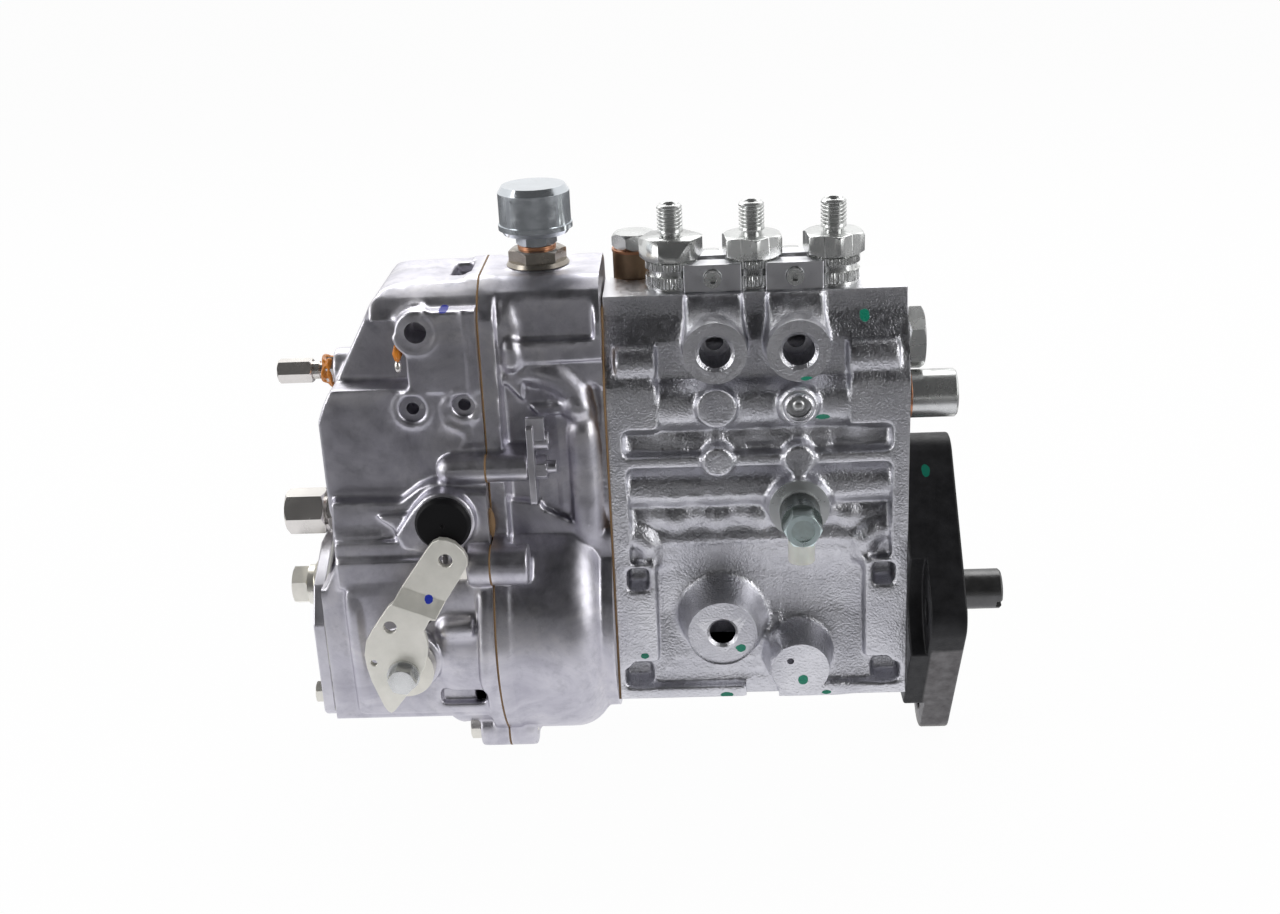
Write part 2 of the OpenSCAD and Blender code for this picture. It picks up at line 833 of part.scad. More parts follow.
module housing_front_relief() {
    x1 = gov_x1 + 1;
    rect(gov_x0 + 9, gov_x1 - 2.5, 125.5, 146);
    rect(gov_x0 + 14.5, x1, 99, 117);
    rect(gov_x0 + 7, gov_x0 + 14.5, 112, 117);
    polygon([[gov_x0 + 7, 110], [gov_x0 + 20, 95], [gov_x0 + 38, 97], [gov_x0 + 38, 90],
        [gov_x0 + 33, 88], [gov_x0 + 33, 48], [gov_x0 + 19, 56], [gov_x0 + 19, 58],
        [gov_x0 + 7, 60]]);
}

module governor_housing_shape() {
    difference() {
        along_x(gov_x0, gov_x1)
            polygon([[-28, 104], [-29.5, 132], [-25, gov_top - 5], [-17, gov_top - 0.6],
                [17, gov_top - 0.6], [25, gov_top - 5], [28, 132], [30, 104],
                [32, 10], [-30.5, 10]]);
        along_y(-34, -26)
            housing_front_relief();
        along_y(26.5, 34) {
            rect(gov_x0 + 9, gov_x1 - 4, 108, 143);
            rect(gov_x0 + 9, gov_x1 - 4, 62, 103);
        }
    }
    along_x(gov_x0, gov_x0 + 6)
        governor_upper_outline();
    along_x(gov_x1 - 4, gov_x1)
        polygon([[-28, 104], [-15, 129.5], [-17, gov_top - 4], [17, gov_top - 4], [28, 104],
            [30, base_z], [-30, base_z]]);
    bulge_outside(gov_x0, gov_x1 - 3.6, bulge_r, 15);
    rod_x(gov_x0, gov_x0 + 5.5, bulge_r + 1);
    rod_x(gov_x1 - 6, gov_x1, 45);
}

module governor_housing_lugs() {
    for (p = side_lugs) {
        rod_x(gov_x0, gov_x0 + 14.5, p[2], p[0], p[1]);
        translate([gov_x0, p[0] < 0 ? p[0] : p[0] - 12, p[1] - 8.5])
            cube([6, 12, 17]);
    }
    for (p = low_lugs)
        rod_x(gov_x0, gov_x0 + 11, p[2], p[0], p[1]);
    rod_x(gov_x0, gov_x0 + 16.5, 5.6, -38.2, 77.5);
    translate([gov_x0, -38.2, 71.9])
        cube([16.5, 12, 11.2]);
    rod_z(gov_top - 3, gov_top + 0.4, 12.8, breather_x);
}

// The hollow that both governor castings share.
module governor_hollow(x0, x1) {
    along_x(x0, x1)
        polygon([[-28 + wall, 100], [-27 + wall, 134], [-20 + wall, gov_top - 2 - wall],
            [20 - wall, gov_top - 2 - wall], [27 - wall, 134], [28 - wall, 100],
            [30 - wall, 12], [-30 + wall, 12]]);
    rod_x(x0, x1, bulge_r - wall);
}

module governor_housing() {
    color(diecast)
        difference() {
            union() {
                governor_housing_shape();
                governor_housing_lugs();
            }
            governor_hollow(gov_x0 - 1, gov_x1 - 16);
            rod_x(gov_x1 - 17, gov_x1 - 4, 38);
            rod_x(gov_x1 - 5, gov_x1 + 1, 20.02);
            rod_x(gov_x1 - 17, gov_x1 + 1, rack_r + 0.3, rack_y, rack_z);
            for (p = concat(side_lugs, low_lugs))
                rod_x(gov_x0 - 1, gov_x0 + 12, 3.2, p[0], p[1]);
            rod_x(gov_x0 - 1, gov_x0 + 20, 2.55, -38.2, 77.5);
            rod_z(gov_top - 12, gov_top + 2, 6.05, breather_x);
        }
}

// Side view of the cover, in X and Z.
module cover_side(d = 0) {
    polygon([[1, gov_top - 1 - d], [-32.7, gov_top - 1.5 - d], [-37.7, gov_top - 3 - d],
        [-41.7, gov_top - 7.5 - d], [-62.2 + d, 104], [-65 + d, 97], [-65 + d, 60],
        [-62.7 + d, 48], [-62.7 + d, 10], [1, 10]]);
}

module cover_box_side() {
    polygon([[0, 42], [-61.7, 42], [-66.7, 32], [-69.7, 26], [-69.7, -30.5],
        [0, -30.5]]);
}

// Pad in front of the cover that carries the boss, with its notch and round corner.
module cover_pad() {
    difference() {
        union() {
            polygon([[0, 108], [0, 140.5], [-21.7, 140.5], [-27.7, 138],
                [-30.7, 133], [-30.7, 127], [-28.2, 124], [-29.2, 108]]);
            translate([-22.9, 132.8])
                circle(r = 8.3);
        }
        rect(-29.7, -27.9, 110, 124);
    }
}

module cover_front_forms() {
    // Upper face at the full width, below the slope.
    intersection() {
        along_y(-34.5, 0)
            cover_side();
        along_y(-34.5, 0)
            rect(-68.7, 0, 20, 110);
    }
    along_y(-35.5, 0)
        cover_pad();
    // Plug pad and the ledge over it.
    along_y(-41, 0)
        polygon([[0, 40], [0, 73], [-21.7, 73], [-26.7, 71], [-34.7, 65],
            [-62.2, 65.6], [-63.2, 50], [-62.7, 40]]);
    along_y(-44, 0)
        polygon([[0, 40], [0, 69], [-15.7, 71.5], [-23.7, 68], [-31.7, 61],
            [-44.7, 60.5], [-37.7, 55], [-36.7, 49.5], [-62.2, 49.5], [-62.7, 40]]);
    along_y(-49, 0) {
        translate([-16.7, 59.5])
            circle(r = 12.3);
        polygon([[-27.7, 66], [-36.2, 54], [-33.7, 48], [-26.7, 46.5], [-10.7, 47], [-7.7, 53]]);
    }
    // Lower box in two steps.
    along_y(-44, 38)
        cover_box_side();
    along_y(-47, 0)
        round_rect(-59.7, -0.7, -27, 30, 3);
    along_y(-46, 0)
        rect(-62.1, -6.7, 30, 42.3);
}

module cover_lugs() {
    for (p = side_lugs) {
        rod_x(-9, 0, p[2], p[0], p[1]);
        translate([-8, p[0] < 0 ? p[0] : p[0] - 12, p[1] - 8.5])
            cube([8, 12, 17]);
    }
    for (p = low_lugs)
        rod_x(-12, 0, p[2], p[0], p[1]);
    rod_x(-14.2, 0, 5.6, -38.2, 77.5);
    translate([-14.2, -38.2, 77.5])
        sphere(r = 5.6);
    translate([-14.2, -38.2, 71.9])
        cube([14.2, 6, 11.2]);
}

module governor_cover_outside() {
    intersection() {
        along_x(-74.7, 0)
            polygon([[-22, 104], [-22, 134], [-26, gov_top - 5.2], [-17, gov_top - 0.4],
                [17, gov_top - 0.4], [26, gov_top - 5.2], [32, 136], [33, 104], [37, 10],
                [-34, 10], [-34, 104]]);
        along_y(-40, 40)
            cover_side();
    }
    along_x(-5.4, 0)
        governor_upper_outline();
    intersection() {
        along_x(-41.7, 0)
            polygon([[-32, 136], [-26, gov_top - 5.2], [-17, gov_top - 0.4], [0, gov_top - 0.4],
                [0, 136]]);
        along_y(-40, 40)
            cover_side();
    }
    cover_front_forms();
    cover_lugs();
    // Round chamber behind the box.
    mirror([1, 0, 0])
        bulge_outside(0, 27.2, bulge_r - 2.5, 9);
    rod_x(-5.4, 0, bulge_r + 1);
    // Screw tube at the upper left and the boss of the idle spring.
    rod_x(-63.1, -24.7, 9, 0, 107.8);
    rod_x(-66.7, -52.7, 10.5, 0, 45.5);
    // Half-round bump beside the lever.
    rod_x(-18.7, -8.7, 5.4, -46.5, 12.7);
    translate([-18.7, -46.5, 12.7])
        sphere(r = 5.4);
    rod_y(-52, -44, 13.5, lever_x, lever_z);
}

// Small tapped holes in the cover's front, in X and Z.
cover_holes = [[-27.2, 101.5], [-6.9, 102.4]];

module cover_slots() {
    rod_y(-40, -20, 4.25, -22.9, 132.8);
    for (p = cover_holes) {
        rod_y(-40, -33.2, 5.2, p[0], p[1]);
        rod_y(-40, -24, 2.5, p[0], p[1]);
    }
    along_y(-48.2, -43.5)
        round_rect(-24.7, -6.7, -22.5, -15.5, 2);
    along_y(-46, -40)
        rect(-74.7, -69.71, -40, 50);
    // Slot on top of the cover, by the flange.
    translate([-11.7, -8, gov_top - 6])
        cube([7.5, 18, 8]);
}

module cover_hollow() {
    governor_hollow(-10.7, 1);
    intersection() {
        along_x(-52.7, 0)
            polygon([[-17, 104], [-17, 134], [-12, gov_top - 8], [14, gov_top - 8], [27, 130],
                [28, 60], [28, 12], [-29, 12], [-29, 104]]);
        along_y(-40, 40)
            cover_side(7);
    }
    translate([-65.7, -39, -25.5])
        cube([62, 72, 46]);
    along_x(-74.7, -62.7)
        round_rect(-30, 30, -22, 20, 4);
}

// Bosses behind the small tapped holes and the pin that carries the guide lever.
module cover_inner_bosses() {
    for (p = cover_holes)
        rod_y(-34, -22, 5.5, p[0], p[1]);
    rod_y(-45, -7, 4, guide_x, guide_z);
}

module governor_cover() {
    color(diecast)
        translate([cover_x1, 0, 0])
            difference() {
                union() {
                    difference() {
                        governor_cover_outside();
                        cover_hollow();
                    }
                    cover_inner_bosses();
                }
                cover_slots();
                rod_y(-60, -30, lever_shaft_r + gap, lever_x, lever_z);
                rod_y(-50, -30, 9.02, -16.7, 59.5);
                rod_x(-74.7, -17.7, 3.05, 0, 107.8);
                rod_x(-74.7, -47.7, 6.05, 0, 45.5);
                for (p = concat(side_lugs, low_lugs))
                    rod_x(-13, 1, 3.2, p[0], p[1]);
                rod_x(-16.7, 1, 2.55, -38.2, 77.5);
                for (p = side_lugs)
                    rod_x(-18.7, -9, 6.6, p[0], p[1]);
                for (p = low_lugs)
                    rod_x(-18.7, -12, 6.6, p[0], p[1]);
                for (y = [-33, 33])
                    rod_x(-70.7, -60.7, 2.55, y, -23);
            }
}

module end_plate() {
    color(diecast)
        translate([cover_x1, 0, 0])
            difference() {
                union() {
                    along_x(-75.5, -70.5)
                        polygon([[-41, -28], [-41, 12], [-33, 26], [-12, 36.4], [12, 36.4],
                            [33, 26], [41, 12], [41, -28], [38, -31], [-38, -31]]);
                    // Post and cup that hold the governor spring.
                    rod_x(-70.7, -25.7, 5);
                    rod_x(-26.7, -23.7, 10.5);
                }
                rod_x(-76.7, -68.7, 5.05, 0, 11);
                for (y = [-33, 33])
                    rod_x(-76.7, -68.7, 2.6, y, -23);
            }
}

module gaskets() {
    color([0.5, 0.36, 0.18]) {
        along_x(joint_x, body_x0)
            difference() {
                polygon([[-29, 104], [-17, 130], [-17, 134], [17, 134], [28, 104], [30, base_z],
                    [-30, base_z]]);
                circle(r = 20.1);
                translate([rack_y, rack_z])
                    circle(r = rack_r + 0.3);
            }
        along_x(cover_x1, gov_x0)
            difference() {
                gasket_outline();
                gasket_hole();
                for (p = concat(side_lugs, low_lugs))
                    translate([p[0], p[1]])
                        circle(r = 3.3);
                translate([-38.2, 77.5])
                    circle(r = 2.7);
            }
        along_x(cover_x1 - 70.5, cover_x1 - 69.7)
            difference() {
                polygon([[-41, -28], [-41, 12], [-33, 26], [33, 26], [41, 12], [41, -28],
                    [38, -31], [-38, -31]]);
                round_rect(-29, 29, -21, 19, 4);
                for (y = [-33, 33])
                    translate([y, -23])
                        circle(r = 2.7);
            }
    }
}

module breather_nut() {
    z = gov_top + 0.4;
    color([0.5, 0.45, 0.36])
        difference() {
            union() {
                rod_z(z - 8, z + 1, 6, breather_x);
                cone_z(z, z + 1.6, 12.6, 11.6, breather_x);
                hex_head_z(z + 1, z + 6.2, 20, breather_x, 0, 12, 0.8);
            }
            rod_z(z - 9, z + 8, 4.05, breather_x);
        }
}

module breather_cap() {
    z = gov_top + 8.1;
    color([0.8, 0.82, 0.85]) {
        rod_z(gov_top - 6, z + 1, 4, breather_x);
        hex_head_z(z, z + 5.2, 14, breather_x, 0, 5, 0.6);
        rod_z(z + 5, z + 7, 6, breather_x);
        difference() {
            union() {
                cone_z(z + 4.6, z + 7, 12.6, cap_r - 0.4, breather_x);
                rod_z(z + 6.6, z + 8.6, cap_r, breather_x);
                rod_z(z + 8.2, z + cap_h + 2, cap_r - 0.5, breather_x);
                cone_z(z + cap_h + 2, z + cap_h + 4.6, cap_r - 0.5, cap_r - 2.2, breather_x);
            }
            rod_z(z + 4, z + 6, 9.5, breather_x);
        }
    }
}

bend_a = [-39.1, 30.3];
bend_b = [-23.4, 23.7];
bend_turn = atan2(bend_b[1] - bend_a[1], bend_b[0] - bend_a[0]);

// The lever seen from the front, in X and Z.
module lever_outline() {
    polygon([bend_a, [-37.3, 31.5], [-22.1, 52.8], [-20.3, 54.8], [-17.7, 56], [-14.7, 55.6],
        [-11.9, 54.2], [-8.7, 50.8], [-7.4, 47.5], [-7.5, 44.6], [-8.9, 42.2],
        [-21.3, 23.4], bend_b, [-26.2, 19.1], [-25.3, 15], [-25.2, 11.8], [-25.9, 7.5],
        [-27.3, 3.2], [-30.1, -2.6], [-35.4, -9.2], [-41.3, -16.4], [-42.6, -17.3],
        [-44, -16.3], [-45.3, -14], [-49.1, -2.6], [-50.3, 3.4], [-50.7, 9.2],
        [-49.4, 15.3], [-46.1, 20.7]]);
}

// Section of the cranked lever across its bend line.
module lever_crank() {
    y0 = lever_y + 3;
    translate([bend_a[0], 0, bend_a[1]])
        rotate([0, -bend_turn, 0])
            along_x(-60, 80)
                polygon([[y0, -80], [y0, 0.6], [y0 + 5, 6.6], [y0 + 5, 60],
                    [y0 + 5 - lever_t, 60], [y0 + 5 - lever_t, 7.4], [y0 - lever_t, 1.4],
                    [y0 - lever_t, -80]]);
}

module control_lever() {
    color(zinc)
        translate([cover_x1, 0, 0])
            difference() {
                intersection() {
                    along_y(lever_y - 6, lever_y + 14)
                        lever_outline();
                    lever_crank();
                }
                rod_y(lever_y - 9, lever_y + 12, 2.75, -16, 46.9);
                rod_y(lever_y - 9, lever_y + 12, 2.6, -39.4, 21.2);
                rod_y(lever_y - 9, lever_y + 12, 1.3, -47.3, 5.6);
                rod_y(lever_y - 9, lever_y + 12, 4.05, lever_x, lever_z);
            }
}

module lever_shaft() {
    color(zinc)
        translate([cover_x1, 0, 0]) {
            rod_y(-57.8, -22, lever_shaft_r, lever_x, lever_z);
            rod_y(-59, -57.6, 9, lever_x, lever_z);
            difference() {
                rod_y(-59, -53, 11.5, lever_x, lever_z);
                rod_y(-60, -52, 8, lever_x, lever_z);
            }
            difference() {
                rod_y(-30.5, -26.5, 9.5, lever_x, lever_z);
                rod_y(-31, -26, lever_shaft_r - 0.5, lever_x, lever_z);
            }
        }
}

module lever_bolt() {
    color(steel)
        translate([cover_x1, 0, 0]) {
            difference() {
                rod_y(lever_y - 1, -59, 4, lever_x, lever_z);
                rod_y(-60, -58, 4.5, lever_x, lever_z);
            }
            rod_y(lever_y - 1.4, lever_y, 6.5, lever_x, lever_z);
            hex_head_y(lever_y - 6.4, lever_y - 1.3, 10, lever_x, lever_z, 12, 0.6);
        }
}

module cover_plug() {
    color([0.07, 0.07, 0.08])
        translate([cover_x1, 0, 0])
            difference() {
                union() {
                    rod_y(-51, -49, 11, -16.7, 59.5);
                    cone_y(-52.5, -51, 9.8, 11, -16.7, 59.5);
                    rod_y(-49.5, -41, 9, -16.7, 59.5);
                }
                rod_y(-53, -51.9, 0.8, -16.7, 59.5);
            }
}

module full_load_screw() {
    color(steel)
        translate([cover_x1, 0, 0]) {
            rod_x(-70.7, -26.7, 3, 0, 107.8);
            hex_head_x(-86.7, -72.7, 9, 0, 107.8, 30, 0.8);
            rod_x(-72.9, -69.7, 3.6, 0, 107.8);
            hex_head_x(-67, -63.1, 10, 0, 107.8, 10, 0.5);
        }
}

module idle_cap_nut() {
    color(steel)
        translate([cover_x1, 0, 0]) {
            rod_x(-74.7, -48.7, 6, 0, 45.5);
            hex_head_x(-90.7, -74.1, 17, 0, 45.5, 30, 1.2);
            hex_head_x(-72.9, -66.7, 15, 0, 45.5, 30, 0.8);
        }
}

module lock_bolt() {
    color(zinc)
        translate([cover_x1, 0, 0]) {
            rod_x(-85.7, -69.2, 5, 0, 11);
            hex_head_x(-92, -85, 15, 0, 11, 0, 0.7);
            rod_x(-85.2, -82.3, 8.6, 0, 11);
            difference() {
                hex_head_x(-82.2, -75.7, 19, 0, 11, 0, 1);
                rod_x(-82.7, -74.7, 5.05, 0, 11);
                for (a = [0, 90])
                    translate([-78.7, 0, 11])
                        rotate([a + 20, 0, 0])
                            rod_z(-12, 12, 1);
            }
        }
}

module cover_bolts() {
    color(steel)
        translate([cover_x1, 0, 0]) {
            for (p = concat(side_lugs, low_lugs)) {
                rod_x(-12, gasket_t + 11, 3, p[0], p[1]);
                x = p[1] < 0 ? -12 : -9;
                hex_head_x(x - 4.5, x, 10, p[0], p[1], 15, 0.5);
            }
            for (y = [-33, 33]) {
                rod_x(-76.2, -61.7, 2.5, y, -23);
                hex_head_x(-79.3, -75.5, 8.5, y, -23, 0, 0.5);
            }
        }
}

module line_clip() {
    x = gov_x0 + 16.5;
    color([0.66, 0.66, 0.68]) {
        difference() {
            union() {
                along_x(x, x + 2.6)
                    round_rect(-44, -33.5, 63.5, 96, 1.5);
                translate([x, -42, 90])
                    cube([7, 2.6, 9]);
                rod_x(x + 2, x + 8, 3.6, -38.5, 88.5);
            }
            rod_x(x - 1, x + 9, 2.7, -38.2, 77.5);
            rod_x(x - 1, x + 9, 1.8, -38.5, 88.5);
        }
        rod_x(cover_x1 - 12.7, x + 10.6, 2.5, -38.2, 77.5);
        difference() {
            hex_head_x(x + 2.6, x + 7, 9, -38.2, 77.5, 0, 0.6);
            rod_x(x + 2, x + 8, 2.52, -38.2, 77.5);
        }
    }
}

module flyweight_carrier() {
    color(steel)
        difference() {
            union() {
                rod_x(joint_x - 17.1, joint_x - 4.1, 12);
                rod_x(joint_x - 12.6, joint_x - 7.6, 22);
                for (s = [-1, 1])
                    for (y = [-12, 8])
                        translate([weight_x - 3, y, s > 0 ? 12 : -30])
                            cube([12, 4, 18]);
                for (s = [-1, 1])
                    rod_y(-13.5, 13.5, 2, weight_x, s * weight_z);
            }
            rod_x(weight_x, joint_x - 3.6, 8.02);
        }
}

module flyweight_shape() {
    color([0.42, 0.43, 0.46])
        difference() {
            union() {
                rod_y(-7.6, 7.6, 4, weight_x, weight_z);
                along_y(-7.6, 7.6)
                    polygon([[weight_x - 18, 24], [weight_x - 18, 38], [weight_x - 6, 40], [weight_x, 29.5],
                        [weight_x + 1, 25], [weight_x + 1, 12], [weight_x - 2.6, 12],
                        [weight_x - 3, 22]]);
            }
            rod_y(-9, 9, 2.05, weight_x, weight_z);
        }
}

module governor_sleeve() {
    color([0.68, 0.68, 0.7])
        difference() {
            union() {
                rod_x(cover_x1 - 2.7, weight_x - 3.3, 8.2);
                rod_x(weight_x - 6, weight_x - 3.3, 17);
                rod_x(cover_x1 - 2.7, cover_x1 + 0.8, 13);
            }
            rod_x(cover_x1 + 0.3, weight_x - 2, 5.05);
        }
}

module governor_spring() {
    color([0.5, 0.52, 0.56])
        translate([cover_x1, 0, 0])
            translate([-23.7, 0, 0])
                rotate([0, 90, 0])
                    coil(8.5, 1, 0.05, 20.9, 6);
}

module guide_lever() {
    color(steel)
        translate([cover_x1, 0, 0])
            difference() {
                union() {
                    rod_y(-13, -9, 6.5, guide_x, guide_z);
                    along_y(-11.5, -8.6)
                        polygon([[guide_x - 4, guide_z], [guide_x - 3.5, 100], [guide_x + 3.5, 100],
                            [guide_x + 4, guide_z]]);
                }
                rod_y(-14, -8, 4.05, guide_x, guide_z);
                along_y(-14, -8)
                    rect(guide_x - 2.4, guide_x + 2.4, 92, 98);
            }
}

pump_housing();
drive_flange();
shaft_seal();
shaft_bearings();
camshaft();
tappet(0);  // tappet_1
tappet(1);  // tappet_2
tappet(2);  // tappet_3
tappet_fittings(0);  // tappet_fittings_1
tappet_fittings(1);  // tappet_fittings_2
tappet_fittings(2);  // tappet_fittings_3
plunger(0);  // plunger_1
plunger(1);  // plunger_2
plunger(2);  // plunger_3
control_sleeve(0);  // control_sleeve_1
control_sleeve(1);  // control_sleeve_2
control_sleeve(2);  // control_sleeve_3
plunger_spring(0);  // plunger_spring_1
plunger_spring(1);  // plunger_spring_2
plunger_spring(2);  // plunger_spring_3
inner_seats();
barrels();
delivery_valve(0);  // delivery_valve_1
delivery_valve(1);  // delivery_valve_2
delivery_valve(2);  // delivery_valve_3
valve_spring(0);  // valve_spring_1
valve_spring(1);  // valve_spring_2
valve_spring(2);  // valve_spring_3
valve_holders();
clamp_jaws();
clamp_screws();
control_rack();
rack_cap();
housing_plugs();
vent_screw();
vent_nipple();
overflow_union();
overflow_bolt();
copper_washers();
governor_housing();
governor_cover();
end_plate();
gaskets();
breather_cap();
breather_nut();
control_lever();
lever_shaft();
lever_bolt();
cover_plug();
full_load_screw();
idle_cap_nut();
lock_bolt();
cover_bolts();
line_clip();
flyweight_carrier();
flyweight_shape();  // flyweight_a
rotate([180, 0, 0]) flyweight_shape();  // flyweight_b
governor_sleeve();
governor_spring();
guide_lever();
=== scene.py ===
# Looks for the three-cylinder in-line injection pump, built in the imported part's own frame.
# Lengths are millimetres, and MM turns them into the frame's metres. The studio is in metres.
import json
import math

import bmesh
import bpy
import numpy as np
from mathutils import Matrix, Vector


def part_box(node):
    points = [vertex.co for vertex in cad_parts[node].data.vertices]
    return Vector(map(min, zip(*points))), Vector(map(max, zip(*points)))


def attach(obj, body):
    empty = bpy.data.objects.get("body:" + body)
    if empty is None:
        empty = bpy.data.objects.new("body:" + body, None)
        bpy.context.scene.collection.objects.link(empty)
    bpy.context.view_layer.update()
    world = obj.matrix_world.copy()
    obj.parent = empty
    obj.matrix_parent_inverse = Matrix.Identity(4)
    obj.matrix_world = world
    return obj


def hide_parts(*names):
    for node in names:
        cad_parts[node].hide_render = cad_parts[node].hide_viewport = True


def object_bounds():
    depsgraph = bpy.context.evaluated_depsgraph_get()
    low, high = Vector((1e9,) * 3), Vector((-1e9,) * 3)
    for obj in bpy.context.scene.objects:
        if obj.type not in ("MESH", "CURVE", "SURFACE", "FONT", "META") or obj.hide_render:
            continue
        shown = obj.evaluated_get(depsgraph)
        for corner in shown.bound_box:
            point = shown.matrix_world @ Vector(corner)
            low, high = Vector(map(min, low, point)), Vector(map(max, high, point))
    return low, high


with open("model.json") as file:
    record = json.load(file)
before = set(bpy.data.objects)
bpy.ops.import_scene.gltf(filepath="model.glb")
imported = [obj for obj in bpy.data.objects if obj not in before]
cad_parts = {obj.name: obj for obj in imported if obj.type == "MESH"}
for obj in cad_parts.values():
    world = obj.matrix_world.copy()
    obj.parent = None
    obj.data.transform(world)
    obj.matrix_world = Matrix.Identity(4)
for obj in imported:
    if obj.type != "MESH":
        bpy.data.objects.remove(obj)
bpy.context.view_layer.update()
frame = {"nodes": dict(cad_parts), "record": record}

import openvdb
from mathutils import Matrix, Vector, noise

# Sizes and places shared by the sections
MM = 0.001
NODES = frame["nodes"]
PUMP = "pump"

BODY_LEFT, BODY_RIGHT = -139.6, -21.0
BODY_BASE, BODY_DECK = -32.0, 138.0
MID_X = (BODY_LEFT + BODY_RIGHT) / 2 - 0.2
CYL_PITCH = 32
CYL_X = [MID_X - CYL_PITCH, MID_X, MID_X + CYL_PITCH]
PORT_X = [MID_X - CYL_PITCH / 2, MID_X + CYL_PITCH / 2]
PORT_Z = 119.9
# Features of the body's front, as (x, z)
BALL_PLUG = (PORT_X[1], 96)
VENT = (PORT_X[1] - 0.3, 54.5)
OIL_INLET = (PORT_X[0], 3.7)
BLIND_BOSS = (PORT_X[1] - 0.5, -14)
# Axes along the body, as (y, z), and the return port's, as (x, y)
RACK = (-16, 95)
GALLERY = (-12, 117)
RETURN_PORT = (BODY_LEFT + 12, 21)

GOV_LEFT, GOV_RIGHT = -186.5, -140.4
GOV_TOP = 149.0
BREATHER_X = -165.2
COVER_LEFT, COVER_RIGHT = -257.0, -187.3
# Features of the cover's front, as (x, z)
LEVER = (-223.2, 0.0)
COVER_PLUG = (-204, 59.5)
EYE = (-210.2, 132.8)
LEFT_HOLE = (-214.5, 101.5)
RIGHT_HOLE = (-194.2, 102.4)
# Heights of the screws in the cover's end
FULL_LOAD_Z = 107.8
IDLE_Z = 45.5


